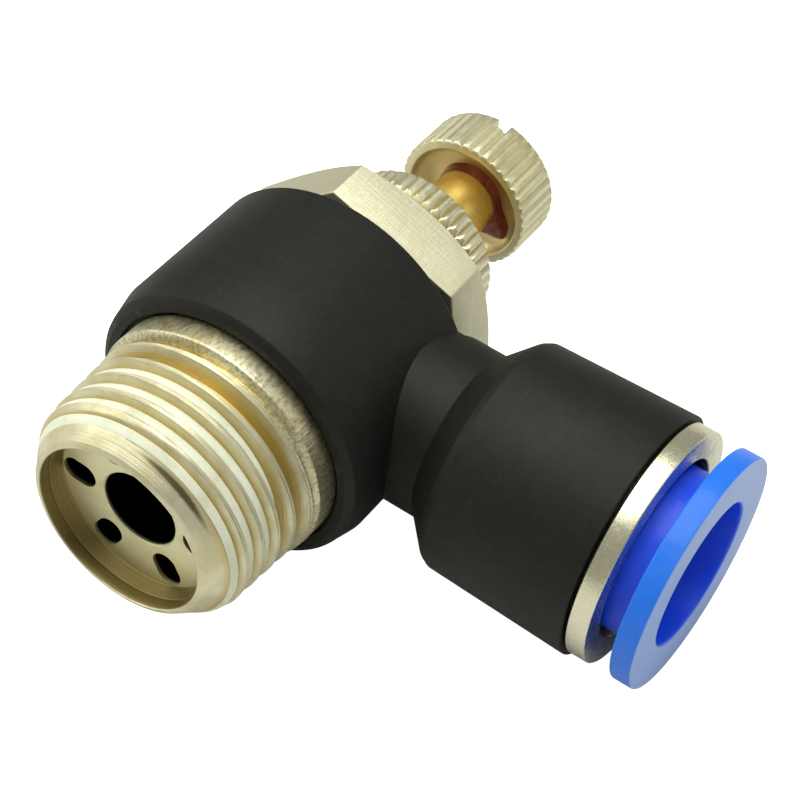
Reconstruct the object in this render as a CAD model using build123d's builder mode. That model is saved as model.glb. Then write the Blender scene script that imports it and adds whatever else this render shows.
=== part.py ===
"""Elbow flow control valve: R 1/2 taper thread, swivelling body, push-in socket for 12 mm tube.

Frame: +Y runs along the stem from its threaded end to the knob, +X along the branch towards the
release ring, +Z up as the valve lies on its side. The origin is the centre of the threaded end face.
All sizes are in millimetres.
"""
import os
from math import cos, radians, sin, tan

from build123d import *

# ---- driving dimensions -------------------------------------------------------------------------
branch_height = 24.3          # branch axis above the threaded end face
tube_radius = 6.05            # bore for the 12 mm tube
knob_face = 47.0              # knob's lower face, with the needle as far open as it is drawn

# R 1/2 taper thread, cut as rings at the pitch
thread_pitch = 1.814
gauge_radius = 20.955 / 2
gauge_length = 8.2
groove_depth = 1.05
groove_half_mouth = 0.70
groove_half_floor = 0.15
first_groove = 2.85
full_grooves = 4
runout_groove = 10.0
runout_depth = 0.55

# threaded stem
rim_radius = 8.4
mouth_radius = 7.87
mouth_depth = 1.1
sleeve_bore = 7.5
collar_radius = 10.59
collar_foot = 10.6
collar_top = 13.4
shank_radius = 9.30
shank_top = 29.25
window_height = 23.0
window_radius = 2.5
window_count = 4
seal_section = 0.50           # radius of the swivel O-rings' section
seal_groove_depth = 1.05
seal_groove_width = 1.5
lower_seal_height = 16.2
upper_seal_height = 28.0

# valve seat, pressed into the stem
seat_floor = 2.6
seat_thickness = 3.4
seat_tube_radius = 4.7
orifice_radius = 3.41
seat_top = 13.2
check_holes = 6
check_hole_ring = 5.75
check_hole_length = 3.1
check_hole_width = 2.3
check_hole_turn = -121        # one hole's direction, in degrees from +X towards +Z

# body
body_radius = 12.8
body_foot = 13.0
body_top = 28.6
body_bore = 9.35
chamber_radius = 10.6
chamber_low = 18.2
chamber_high = 26.4
neck_radius = 7.34
neck_end = 15.3
collet_radius = 10.12
collet_start = 18.3
mouth_end = 30.9
mouth_outer = 10.5
passage_radius = 3.1
tube_stop = 14.0
relief_radius = 13.1          # room above the body for the hexagon's corners
packing_start = 20.5
packing_bore = 8.2
spacer_start = 24.4
claw_start = 25.9
guide_start = 26.8
guide_bore = 8.9

# hexagon head, lock nut, needle and knob
hex_flats = 21.7
hex_foot = 29.4
hex_top = 34.75
hex_turn = 40.7               # a corner's direction, in degrees from +X towards +Z
boss_radius = 6.55
boss_top = 37.6
spigot_radius = 7.45
spigot_foot = 26.2
gland_radius = 4.1
gland_top = 33.0
needle_radius = 2.9
nut_foot = 37.68
nut_top = 40.45
nut_radius = 7.33
knob_radius = 6.22
knob_top = 52.15
knob_recess_radius = 5.4
knob_recess = 1.5
slot_width = 1.3
slot_depth = 1.2
slot_turn = 79                # direction of the screwdriver slot, in degrees from +X towards +Z
nut_flutes = 44
knob_flutes = 40
flute_radius = 0.26

running_gap = 0.05
press_gap = 0.02

STEM = Axis.Y
BRANCH = Axis((0, branch_height, 0), (1, 0, 0))


def outline(points):
    """Return the flat face inside a closed outline of (radius, height) points."""
    with BuildSketch(Plane.XY) as flat:
        with BuildLine():
            Polyline(*points, close=True)
        make_face()
    return flat.sketch


def branch_outline(points):
    """Return the flat face inside a closed outline of (distance along the branch, radius) points."""
    return outline([(along, branch_height + radius) for along, radius in points])


def across(height):
    """Return the plane square to the stem at a height, facing the knob."""
    return Plane(origin=(0, height, 0), x_dir=(1, 0, 0), z_dir=(0, 1, 0))


def crest(height):
    """Return the taper thread's crest radius at a height above the threaded end."""
    return gauge_radius + (height - gauge_length) / 32


def groove(height, depth):
    """Return one thread groove's four outline points, from its lower lip to its upper lip."""
    floor = crest(height) - depth
    return [
        (crest(height), height - groove_half_mouth),
        (floor, height - groove_half_floor),
        (floor, height + groove_half_floor),
        (crest(height), height + groove_half_mouth),
    ]


def seal_groove(height, radius):
    """Return the outline points of an O-ring groove cut into a shaft of that radius."""
    half = seal_groove_width / 2
    floor = radius - seal_groove_depth
    return [(radius, height - half), (floor, height - half), (floor, height + half), (radius, height + half)]


def ring_seal(centre_radius, height, section):
    """Return an O-ring's solid about the stem."""
    with BuildPart() as seal:
        with BuildSketch(Plane.XY):
            with Locations((centre_radius, height)):
                Circle(section)
        revolve(axis=STEM)
    return seal.part


def save(piece, name):
    """Label a finished piece and write it as parts/NAME.step."""
    piece.label = name
    export_step(piece, f"parts/{name}.step")


os.makedirs("parts", exist_ok=True)

# ---- threaded stem ------------------------------------------------------------------------------
groove_heights = [first_groove + turn * thread_pitch for turn in range(full_grooves)]
chamfer_height = crest(0) - rim_radius
thread_outline = [(rim_radius, 0), (crest(chamfer_height), chamfer_height)]
for height in groove_heights:
    thread_outline += groove(height, groove_depth)
thread_outline += groove(runout_groove - 0.05, runout_depth)[:2]
thread_outline += [(crest(runout_groove) - runout_depth, runout_groove + groove_half_floor)]
thread_outline += [(collar_radius, collar_foot)]

with BuildPart() as threaded_stem:
    revolve(outline(
        thread_outline
        + [(collar_radius, collar_top), (shank_radius, collar_top)]
        + seal_groove(lower_seal_height, shank_radius)
        + seal_groove(upper_seal_height, shank_radius)
        + [(shank_radius, shank_top), (sleeve_bore, shank_top), (sleeve_bore, mouth_depth)]
        + [(mouth_radius, mouth_depth), (mouth_radius, 0)]
    ), axis=STEM)
    for quarter in range(window_count):
        turn = 360 / window_count * quarter
        side = Plane(origin=(0, window_height, 0), z_dir=(cos(radians(turn)), 0, sin(radians(turn))))
        with BuildSketch(side):
            Circle(window_radius)
        extrude(amount=shank_radius + 1, mode=Mode.SUBTRACT)
save(threaded_stem.part, "threaded_stem")

# ---- sealant in the first turns -----------------------------------------------------------------
sealed_grooves = 3
sealant_fill = 0.60           # share of the groove's depth that the sealant fills
flank_angle = 27.5
with BuildPart() as thread_sealant:
    for height in groove_heights[:sealed_grooves]:
        floor = crest(height) - groove_depth + press_gap
        lip = sealant_fill * groove_depth
        half_lip = groove_half_floor + lip * tan(radians(flank_angle)) - press_gap
        revolve(outline([
            (floor, height - groove_half_floor + press_gap),
            (floor, height + groove_half_floor - press_gap),
            (floor + lip, height + half_lip),
            (floor + lip, height - half_lip),
        ]), axis=STEM)
save(thread_sealant.part, "thread_sealant")

# ---- valve seat: disc with six check holes and a tube that carries the orifice --------------------
disc_top = seat_floor + seat_thickness
disc_radius = sleeve_bore - press_gap
orifice_chamfer = 0.5
orifice_chamfer_height = 0.7
with BuildPart() as valve_seat:
    revolve(outline([
        (orifice_radius, seat_floor), (disc_radius, seat_floor), (disc_radius, disc_top),
        (seat_tube_radius, disc_top), (seat_tube_radius, seat_top),
        (orifice_radius + orifice_chamfer, seat_top), (orifice_radius, seat_top - orifice_chamfer_height),
    ]), axis=STEM)
    with BuildSketch(across(disc_top)):
        with PolarLocations(check_hole_ring, check_holes, start_angle=-check_hole_turn):
            SlotOverall(check_hole_length, check_hole_width)
    extrude(amount=-seat_thickness - 1, mode=Mode.SUBTRACT)
save(valve_seat.part, "valve_seat")

# ---- check packing: a U-shaped ring round the seat's tube -----------------------------------------
packing_inner = seat_tube_radius + press_gap
packing_outer = sleeve_bore - press_gap
packing_foot = 8.2
packing_shoulder = 9.0
packing_root = 9.9
packing_lips = 11.6
packing_corner = 0.7
lip_thickness = 0.5
inner_root_thickness = 0.8
outer_root_thickness = 0.9
with BuildPart() as check_packing:
    revolve(outline([
        (packing_inner, packing_foot), (packing_outer - packing_corner, packing_foot),
        (packing_outer, packing_shoulder), (packing_outer, packing_lips),
        (packing_outer - lip_thickness, packing_lips), (packing_outer - outer_root_thickness, packing_root),
        (packing_inner + inner_root_thickness, packing_root), (packing_inner + lip_thickness, packing_lips),
        (packing_inner, packing_lips),
    ]), axis=STEM)
save(check_packing.part, "check_packing")

# ---- O-rings ------------------------------------------------------------------------------------
swivel_seal_centre = body_bore - press_gap - seal_section
save(ring_seal(swivel_seal_centre, lower_seal_height, seal_section), "lower_swivel_o_ring")
save(ring_seal(swivel_seal_centre, upper_seal_height, seal_section), "upper_swivel_o_ring")

# ---- hexagon head with the boss, the needle's thread and the spigot --------------------------------
hex_corner = hex_flats / 2 / cos(radians(30))
bonnet_seal_height = 27.6
bonnet_groove = 0.85
bonnet_groove_half = 0.6
bonnet_groove_radius = spigot_radius - bonnet_groove
needle_bore = needle_radius + running_gap
gland_bore = gland_radius + running_gap
chamfer_fall = 0.577          # the top chamfer falls at 30 degrees
chamfer_start = hex_flats / 2 - 0.55
chamfer_end = hex_corner + 1
with BuildPart() as hex_bonnet:
    with BuildSketch(across(hex_foot)):
        with Locations(Rotation(0, 0, -hex_turn)):
            RegularPolygon(hex_corner, 6)
    extrude(amount=hex_top - hex_foot)
    revolve(outline([
        (chamfer_start, hex_top), (chamfer_end, hex_top - chamfer_fall * (chamfer_end - chamfer_start)),
        (chamfer_end, hex_top + 1), (chamfer_start, hex_top + 1),
    ]), axis=STEM, mode=Mode.SUBTRACT)
    revolve(outline([
        (0, hex_top - 1), (boss_radius, hex_top - 1), (boss_radius, boss_top), (0, boss_top),
    ]), axis=STEM)
    revolve(outline([
        (0, spigot_foot), (spigot_radius, spigot_foot),
        (spigot_radius, bonnet_seal_height - bonnet_groove_half),
        (bonnet_groove_radius, bonnet_seal_height - bonnet_groove_half),
        (bonnet_groove_radius, bonnet_seal_height + bonnet_groove_half),
        (spigot_radius, bonnet_seal_height + bonnet_groove_half),
        (spigot_radius, hex_foot + 0.5), (0, hex_foot + 0.5),
    ]), axis=STEM)
    revolve(outline([
        (0, spigot_foot - 1), (gland_bore, spigot_foot - 1), (gland_bore, gland_top),
        (needle_bore, gland_top + 1), (needle_bore, boss_top + 1), (0, boss_top + 1),
    ]), axis=STEM, mode=Mode.SUBTRACT)
save(hex_bonnet.part, "hex_bonnet")
bonnet_seal_section = 0.38
bonnet_seal_centre = spigot_radius - press_gap - bonnet_seal_section
save(ring_seal(bonnet_seal_centre, bonnet_seal_height, bonnet_seal_section), "bonnet_o_ring")

# ---- body with its branch -------------------------------------------------------------------------
foot_radius = 11.65
foot_edge_radius = 12.28
foot_edge = 0.45
foot_taper = 2.7              # height over which the foot widens to the body's radius
body_edge = 0.25
shoulder_length = 0.55
shoulder_drop = 0.35
recess_depth = 0.55
recess_radius = collar_radius + 0.3
neck_top = branch_height + neck_radius + 1
seat_end = claw_start - 0.1
with BuildPart() as banjo_body:
    revolve(outline([
        (0, body_foot), (foot_radius, body_foot), (foot_edge_radius, body_foot + foot_edge),
        (body_radius, body_foot + foot_taper), (body_radius, body_top - body_edge),
        (body_radius - body_edge, body_top), (0, body_top),
    ]), axis=STEM)
    revolve(branch_outline([
        (0, 0), (0, neck_radius), (neck_end, neck_radius),
        (collet_start - shoulder_length, collet_radius - shoulder_drop),
        (collet_start, collet_radius), (mouth_end, mouth_outer), (mouth_end, 0),
    ]), axis=BRANCH)
    revolve(outline([
        (0, body_foot - 1), (recess_radius, body_foot - 1), (recess_radius, body_foot + recess_depth),
        (body_bore, body_foot + recess_depth), (body_bore, chamber_low), (chamber_radius, chamber_low + 1),
        (chamber_radius, chamber_high - 1), (body_bore, chamber_high), (body_bore, body_top),
        (relief_radius, body_top), (relief_radius, neck_top), (0, neck_top),
    ]), axis=STEM, mode=Mode.SUBTRACT)
    revolve(branch_outline([
        (shank_radius, 0), (shank_radius, passage_radius), (tube_stop, passage_radius),
        (tube_stop, tube_radius), (packing_start, tube_radius), (packing_start, packing_bore),
        (seat_end, packing_bore), (seat_end, guide_bore + press_gap),
        (mouth_end + 1, guide_bore + press_gap), (mouth_end + 1, 0),
    ]), axis=BRANCH, mode=Mode.SUBTRACT)
save(banjo_body.part, "banjo_body")

# ---- tube packing, spacer and claw ------------------------------------------------------------------
seal_bore = tube_radius + 0.1
seal_outer = packing_bore - press_gap
seal_lip = 1.2                # length of the sloping lip at each end of the packing
end_gap = 0.1
with BuildPart() as tube_packing:
    revolve(branch_outline([
        (packing_start + end_gap, seal_bore + 0.6), (packing_start + end_gap, seal_outer),
        (spacer_start - end_gap, seal_outer), (spacer_start - end_gap, seal_bore + 0.9),
        (spacer_start - seal_lip, seal_bore), (packing_start + seal_lip, seal_bore),
    ]), axis=BRANCH)
save(tube_packing.part, "tube_packing")

with BuildPart() as packing_spacer:
    revolve(branch_outline([
        (spacer_start, seal_bore + 0.15), (spacer_start, seal_outer),
        (claw_start - end_gap, seal_outer), (claw_start - end_gap, seal_bore + 0.6),
    ]), axis=BRANCH)
save(packing_spacer.part, "packing_spacer")

claw_teeth = 16
claw_thickness = 0.3
claw_outer = guide_bore - running_gap
claw_bend = 7.9               # radius at which the teeth lean in towards the tube
claw_tip = 0.08
claw_slot_ring = 6.9
claw_slot_length = 2.2
claw_slot_width = 0.5
with BuildPart() as lock_claw:
    revolve(branch_outline([
        (claw_start, claw_outer), (claw_start + claw_thickness, claw_outer),
        (claw_start + claw_thickness, claw_bend), (claw_start, seal_bore + 0.1),
        (claw_start - claw_tip, seal_bore + 0.35), (claw_start, claw_bend),
    ]), axis=BRANCH)
    with BuildSketch(Plane(origin=(claw_start - 1, branch_height, 0), z_dir=(1, 0, 0))):
        with PolarLocations(claw_slot_ring, claw_teeth):
            Rectangle(claw_slot_length, claw_slot_width)
    extrude(amount=3, mode=Mode.SUBTRACT)
save(lock_claw.part, "lock_claw")

# ---- ring in the mouth of the branch ----------------------------------------------------------------
ring_face = 32.85
ring_radius = 10.12
ring_bore = 7.85
ring_back = mouth_end + 0.2
ring_edge = 0.12
ring_bore_edge = 0.1
guide_lead_length = 0.5
guide_lead_radius = 8.2
with BuildPart() as mouth_ring:
    revolve(branch_outline([
        (guide_start, guide_lead_radius), (guide_start, guide_bore), (ring_back, guide_bore),
        (ring_back, ring_radius), (ring_face - ring_edge, ring_radius), (ring_face, ring_radius - ring_edge),
        (ring_face, ring_bore + ring_bore_edge), (ring_face - ring_bore_edge, ring_bore),
        (guide_start + guide_lead_length, ring_bore),
    ]), axis=BRANCH)
save(mouth_ring.part, "mouth_ring")

# ---- release ring -------------------------------------------------------------------------------------
flange_back = 35.0
flange_face = 36.85
flange_radius = 10.35
ring_neck = 7.1
release_bore = tube_radius + 0.1
skirt_end = 28.4
skirt_radius = 7.0
skirt_bore_end = 28.8
catch_radius = 7.55           # bead that keeps the ring behind the mouth ring
catch_start = 29.4
catch_end = 30.6
flange_edge = 0.2
bore_edge = 0.3
with BuildPart() as release_ring:
    revolve(branch_outline([
        (skirt_end, release_bore + 0.35), (skirt_end, skirt_radius), (catch_start, catch_radius),
        (catch_end, catch_radius), (catch_end, ring_neck), (flange_back, ring_neck),
        (flange_back, flange_radius - 0.1), (flange_back + 0.15, flange_radius),
        (flange_face - flange_edge, flange_radius), (flange_face, flange_radius - flange_edge),
        (flange_face, release_bore + bore_edge), (flange_face - bore_edge, release_bore),
        (skirt_bore_end, release_bore),
    ]), axis=BRANCH)
save(release_ring.part, "release_ring")

# ---- needle: tapered tip, piston with the gland seal, threaded shank ------------------------------------
closing_travel = 4.5
seat_shoulder = seat_top + closing_travel + 0.1   # lands just above the seat when the valve is shut
tip_height = seat_top + 0.4
piston_foot = 28.2
piston_top = 32.1
needle_seal_height = 30.0
needle_seal_section = 0.48
needle_groove_half = 0.65
needle_groove_radius = gland_radius - 1.0
tip_radius = 1.2
cone_radius = orifice_radius - 0.06
shoulder_radius = 4.0
stalk_radius = 3.4
shank_end = knob_face + 4.1
with BuildPart() as needle:
    revolve(outline([
        (0, tip_height), (tip_radius, tip_height), (cone_radius, seat_shoulder - 0.4),
        (cone_radius, seat_shoulder), (shoulder_radius, seat_shoulder),
        (shoulder_radius, seat_shoulder + 1.0), (stalk_radius, seat_shoulder + 1.6),
        (stalk_radius, piston_foot - 0.6), (gland_radius, piston_foot),
        (gland_radius, needle_seal_height - needle_groove_half),
        (needle_groove_radius, needle_seal_height - needle_groove_half),
        (needle_groove_radius, needle_seal_height + needle_groove_half),
        (gland_radius, needle_seal_height + needle_groove_half), (gland_radius, piston_top),
        (needle_radius, piston_top + 1.0), (needle_radius, shank_end), (0, shank_end),
    ]), axis=STEM)
save(needle.part, "needle")
needle_seal_centre = gland_bore - 0.03 - needle_seal_section
save(ring_seal(needle_seal_centre, needle_seal_height, needle_seal_section), "needle_o_ring")

# ---- knurled lock nut and knob ----------------------------------------------------------------------------
nut_foot_edge = 0.5
nut_top_edge = 0.12
flute_offset = 0.08
with BuildPart() as lock_nut:
    revolve(outline([
        (needle_bore, nut_foot), (nut_radius - nut_foot_edge, nut_foot),
        (nut_radius, nut_foot + nut_foot_edge), (nut_radius, nut_top - nut_top_edge),
        (nut_radius - nut_top_edge, nut_top), (needle_bore, nut_top),
    ]), axis=STEM)
    with BuildSketch(across(nut_foot - 1)):
        with PolarLocations(nut_radius + flute_offset, nut_flutes):
            Circle(flute_radius)
    extrude(amount=nut_top - nut_foot + 2, mode=Mode.SUBTRACT)
save(lock_nut.part, "lock_nut")

recess_floor = knob_face + knob_recess
knob_foot_edge = 0.15
knob_top_edge = 0.35
knob_bore = needle_radius + press_gap
with BuildPart() as knob:
    revolve(outline([
        (0, knob_face), (knob_radius - knob_foot_edge, knob_face), (knob_radius, knob_face + knob_foot_edge),
        (knob_radius, knob_top - knob_top_edge), (knob_radius - knob_top_edge, knob_top), (0, knob_top),
    ]), axis=STEM)
    revolve(outline([
        (0, knob_face - 1), (knob_recess_radius, knob_face - 1), (knob_recess_radius, recess_floor - 0.3),
        (knob_recess_radius - 0.5, recess_floor), (knob_bore, recess_floor),
        (knob_bore, shank_end + press_gap), (0, shank_end + press_gap),
    ]), axis=STEM, mode=Mode.SUBTRACT)
    with BuildSketch(across(knob_face - 1)):
        with PolarLocations(knob_radius + flute_offset, knob_flutes):
            Circle(flute_radius)
    extrude(amount=knob_top - knob_face + 2, mode=Mode.SUBTRACT)
    with BuildSketch(across(knob_top + 1)):
        Rectangle(2 * knob_radius + 2, slot_width, rotation=-slot_turn)
    extrude(amount=-slot_depth - 1, mode=Mode.SUBTRACT)
save(knob.part, "knob")

# ---- locking compound round the shank, under the knob -------------------------------------------------------
bead_foot = knob_face - 0.4
with BuildPart() as thread_lock_bead:
    revolve(outline([
        (knob_bore, bead_foot), (knob_bore + 0.35, bead_foot + 0.2), (knob_bore + 0.8, bead_foot + 1.1),
        (knob_bore + 1.2, recess_floor - press_gap), (knob_bore, recess_floor - press_gap),
    ]), axis=STEM)
save(thread_lock_bead.part, "thread_lock_bead")
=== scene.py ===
"""Looks of an elbow flow control valve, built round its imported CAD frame.

+Y runs along the stem from its threaded end to the knob, +X runs along the branch towards the release
ring, and +Z is up as the valve lies on its side. Sizes in this file are millimetres unless a name says
otherwise; the MM factor turns them into the metres that the frame uses. Angles about the stem are
counted from +X towards +Z, and angles about the branch from +Y towards +Z.
"""
import sys
import logging
import math
from collections.abc import Callable
from dataclasses import dataclass
from enum import Enum

import bmesh
import bpy
from mathutils import Matrix, Vector, noise


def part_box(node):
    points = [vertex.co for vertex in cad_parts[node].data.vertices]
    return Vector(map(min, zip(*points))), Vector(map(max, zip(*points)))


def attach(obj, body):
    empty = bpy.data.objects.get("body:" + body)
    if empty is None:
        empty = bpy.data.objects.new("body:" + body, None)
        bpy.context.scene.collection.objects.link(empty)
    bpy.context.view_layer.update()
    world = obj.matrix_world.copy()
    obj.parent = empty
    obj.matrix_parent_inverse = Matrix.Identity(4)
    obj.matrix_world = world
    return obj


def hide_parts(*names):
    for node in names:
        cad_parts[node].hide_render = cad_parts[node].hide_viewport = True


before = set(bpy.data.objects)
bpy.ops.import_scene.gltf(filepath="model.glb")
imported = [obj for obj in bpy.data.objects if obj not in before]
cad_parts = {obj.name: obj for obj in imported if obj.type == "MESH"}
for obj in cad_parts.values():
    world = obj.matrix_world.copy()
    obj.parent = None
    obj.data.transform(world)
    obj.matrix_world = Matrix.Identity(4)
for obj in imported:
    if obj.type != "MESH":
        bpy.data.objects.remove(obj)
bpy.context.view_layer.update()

MM = 0.001
TURN = 2 * math.pi
STEPS = 192                   # facets round a turned piece
CUT_NEAR = 0.002 * MM         # vertices this near a cutting plane count as lying in it
MERGE_BELOW = 0.0005 * MM     # vertices nearer than this are one
SLIVER_BELOW = 0.0002 * MM    # edges shorter than this are dissolved
PINHOLE_SIDES = 16            # holes with no more sides than this are filled
SMOOTH_BELOW = math.radians(31)
FLANK = math.tan(math.radians(27.5))   # how fast a thread groove widens with its depth

Colour = tuple[float, float, float, float]
Outline = list[tuple[float, ...]]
Rule = Callable[[float, float, float], tuple[float, float]]
Piece = bpy.types.Object
Paint = bpy.types.Material
Socket = bpy.types.NodeSocket
log = logging.getLogger("flow_control_valve")


def paint(red: int, green: int, blue: int) -> Colour:
    """Turn a display colour into the linear colour that shaders use.

    Args:
        red: display red, 0 to 255.
        green: display green, 0 to 255.
        blue: display blue, 0 to 255.

    Returns:
        The linear colour with full alpha.
    """
    def linear(level: int) -> float:
        """Undo the display curve for one channel."""
        share = level / 255
        return share / 12.92 if share <= 0.04045 else ((share + 0.055) / 1.055) ** 2.4

    return (linear(red), linear(green), linear(blue), 1.0)


def smooth(share: float) -> float:
    """Ease a value from 0 to 1 with level ends."""
    share = min(1.0, max(0.0, share))
    return share * share * (3 - 2 * share)


# ---- places read from the frame -------------------------------------------------------------------------


def low(node: str, axis: str) -> float:
    """Return a CAD node's lowest coordinate along an axis, in millimetres."""
    return getattr(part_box(node)[0], axis) / MM


def high(node: str, axis: str) -> float:
    """Return a CAD node's highest coordinate along an axis, in millimetres."""
    return getattr(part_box(node)[1], axis) / MM


BRANCH_HEIGHT = (low("release_ring", "y") + high("release_ring", "y")) / 2


class Axle(Enum):
    """The two axes that round pieces are turned about."""

    STEM = "stem"
    BRANCH = "branch"

    def centre(self) -> Vector:
        """Return a point on the axis, in metres."""
        return Vector((0, 0 if self is Axle.STEM else BRANCH_HEIGHT * MM, 0))

    def direction(self) -> Vector:
        """Return the axis' direction."""
        return Vector((0, 1, 0)) if self is Axle.STEM else Vector((1, 0, 0))

    def point(self, radius: float, along: float, angle: float = 0.0) -> Vector:
        """Place a point round the axis.

        Args:
            radius: distance from the axis, in millimetres.
            along: distance along the axis, in millimetres.
            angle: direction about the axis, in radians.

        Returns:
            The point in metres.
        """
        across, up = radius * math.cos(angle), radius * math.sin(angle)
        if self is Axle.STEM:
            return Vector((across, along, up)) * MM
        return Vector((along, BRANCH_HEIGHT + across, up)) * MM

    def polar(self, place: Vector) -> tuple[float, float, float]:
        """Return the radius, distance along the axis and angle of a point given in metres."""
        x, y, z = place / MM
        if self is Axle.STEM:
            return math.hypot(x, z), y, math.atan2(z, x)
        return math.hypot(y - BRANCH_HEIGHT, z), x, math.atan2(z, y - BRANCH_HEIGHT)


# ---- bench tools: how pieces are modelled ---------------------------------------------------------------


def deselect() -> None:
    """Leave edit mode with nothing selected."""
    if bpy.context.object and bpy.context.object.mode == "EDIT":
        bpy.ops.object.mode_set(mode="OBJECT")
    bpy.ops.object.select_all(action="DESELECT")


def choose(piece: Piece) -> None:
    """Make one piece the only selected and active object."""
    deselect()
    piece.select_set(True)
    bpy.context.view_layer.objects.active = piece


def edit_all(piece: Piece) -> None:
    """Enter edit mode on a piece with everything selected."""
    choose(piece)
    bpy.ops.object.mode_set(mode="EDIT")
    bpy.ops.mesh.select_all(action="SELECT")


def select_vertices(piece: Piece, wanted: Callable[[Vector], bool]) -> None:
    """Select, in edit mode, the vertices whose place passes a test.

    Args:
        piece: the mesh object to edit.
        wanted: test of a vertex's place in metres.
    """
    choose(piece)
    bpy.ops.object.mode_set(mode="EDIT")
    bpy.ops.mesh.select_mode(type="VERT")
    bpy.ops.mesh.select_all(action="DESELECT")
    mesh = bmesh.from_edit_mesh(piece.data)
    for vertex in mesh.verts:
        vertex.select = wanted(vertex.co)
    mesh.select_flush(True)
    bmesh.update_edit_mesh(piece.data)


def clean(piece: Piece) -> None:
    """Merge doubles, drop loose parts, close pinholes and turn every face outwards."""
    edit_all(piece)
    bpy.ops.mesh.remove_doubles(threshold=MERGE_BELOW)
    bpy.ops.mesh.dissolve_degenerate(threshold=SLIVER_BELOW)
    bpy.ops.mesh.delete_loose(use_verts=True, use_edges=True, use_faces=False)
    bpy.ops.mesh.select_all(action="DESELECT")
    bpy.ops.mesh.select_non_manifold(extend=False, use_wire=False, use_multi_face=False,
                                     use_non_contiguous=False, use_verts=False)
    bpy.ops.mesh.fill_holes(sides=PINHOLE_SIDES)
    bpy.ops.mesh.select_all(action="SELECT")
    bpy.ops.mesh.normals_make_consistent(inside=False)
    bpy.ops.object.mode_set(mode="OBJECT")


def rounded(corners: Outline, facets: int = 3) -> Outline:
    """Round the marked corners of a closed outline.

    Args:
        corners: (radius, along) points, or (radius, along, rounding) where a corner is rounded.
        facets: straight pieces in each rounded corner.

    Returns:
        The outline's (radius, along) points in order.
    """
    points: Outline = []
    for index, corner in enumerate(corners):
        here = Vector(corner[:2])
        if len(corner) == 2:
            points.append((here.x, here.y))
            continue
        before = (Vector(corners[index - 1][:2]) - here).normalized()
        after = (Vector(corners[(index + 1) % len(corners)][:2]) - here).normalized()
        half = before.angle(after) / 2
        start = before * corner[2] / math.tan(half)
        end = after * corner[2] / math.tan(half)
        centre = (before + after).normalized() * corner[2] / math.sin(half)
        for facet in range(facets + 1):
            spoke = (start - centre).normalized().slerp((end - centre).normalized(), facet / facets)
            place = here + centre + spoke * corner[2]
            points.append((place.x, place.y))
    return points


def turned(name: str, corners: Outline, axle: Axle, steps: int = STEPS, facets: int = 3) -> Piece:
    """Turn a closed outline once round an axis.

    Args:
        name: the new piece's name.
        corners: outline corners as rounded() takes them, in millimetres.
        axle: the axis to turn about.
        steps: facets in the full turn.
        facets: straight pieces in each rounded corner.

    Returns:
        The closed, outward-facing piece.
    """
    points = rounded(corners, facets)
    deselect()
    bpy.ops.mesh.primitive_circle_add(vertices=len(points), radius=MM, fill_type="NOTHING")
    piece = bpy.context.object
    piece.name = piece.data.name = name
    for vertex, (radius, along) in zip(piece.data.vertices, points):
        vertex.co = axle.point(radius, along)
    edit_all(piece)
    bpy.ops.mesh.spin(steps=steps, angle=TURN, center=axle.centre(), axis=axle.direction())
    clean(piece)
    return piece


def wrapped(name: str, rounds: int, across: int, place: Callable[[float, float], Vector]) -> Piece:
    """Lay a flat grid over a surface given by a formula, and merge its edges where they meet.

    Args:
        name: the new piece's name.
        rounds: faces along the first direction.
        across: faces along the second direction.
        place: gives a vertex's place in metres from its two shares, each 0 to 1.

    Returns:
        The wrapped piece.
    """
    deselect()
    bpy.ops.mesh.primitive_grid_add(x_subdivisions=rounds, y_subdivisions=across, size=1.0)
    piece = bpy.context.object
    piece.name = piece.data.name = name
    for vertex in piece.data.vertices:
        vertex.co = place(round((vertex.co.x + 0.5) * rounds) / rounds,
                          round((vertex.co.y + 0.5) * across) / across)
    return piece


def reshape(piece: Piece, axle: Axle, move: Rule) -> None:
    """Move a piece's vertices by a rule on their radius, place along the axis and angle.

    Args:
        piece: the mesh object.
        axle: the axis that radius and angle are about.
        move: returns the new radius and place along the axis.
    """
    for vertex in piece.data.vertices:
        radius, along, angle = axle.polar(vertex.co)
        vertex.co = axle.point(*move(radius, along, angle), angle)


def combine(piece: Piece, tool: Piece, operation: str) -> None:
    """Cut, join or intersect a piece with a tool solid, which is used up.

    Args:
        piece: the piece that is changed.
        tool: the solid that changes it.
        operation: UNION, DIFFERENCE or INTERSECT.
    """
    choose(piece)
    modifier = piece.modifiers.new("combine", "BOOLEAN")
    modifier.operation = operation
    modifier.solver = "EXACT"
    modifier.object = tool
    bpy.ops.object.modifier_apply(modifier=modifier.name)
    bpy.data.objects.remove(tool)


def soften(piece: Piece, width: float, above: float = 40, segments: int = 2) -> None:
    """Bevel a piece's sharp edges.

    Args:
        piece: the piece to soften.
        width: bevel width in millimetres.
        above: the smallest edge angle that is bevelled, in degrees.
        segments: faces across each bevel.
    """
    choose(piece)
    modifier = piece.modifiers.new("soften", "BEVEL")
    modifier.width = width * MM
    modifier.segments = segments
    modifier.limit_method = "ANGLE"
    modifier.angle_limit = math.radians(above)
    bpy.ops.object.modifier_apply(modifier=modifier.name)


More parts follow.
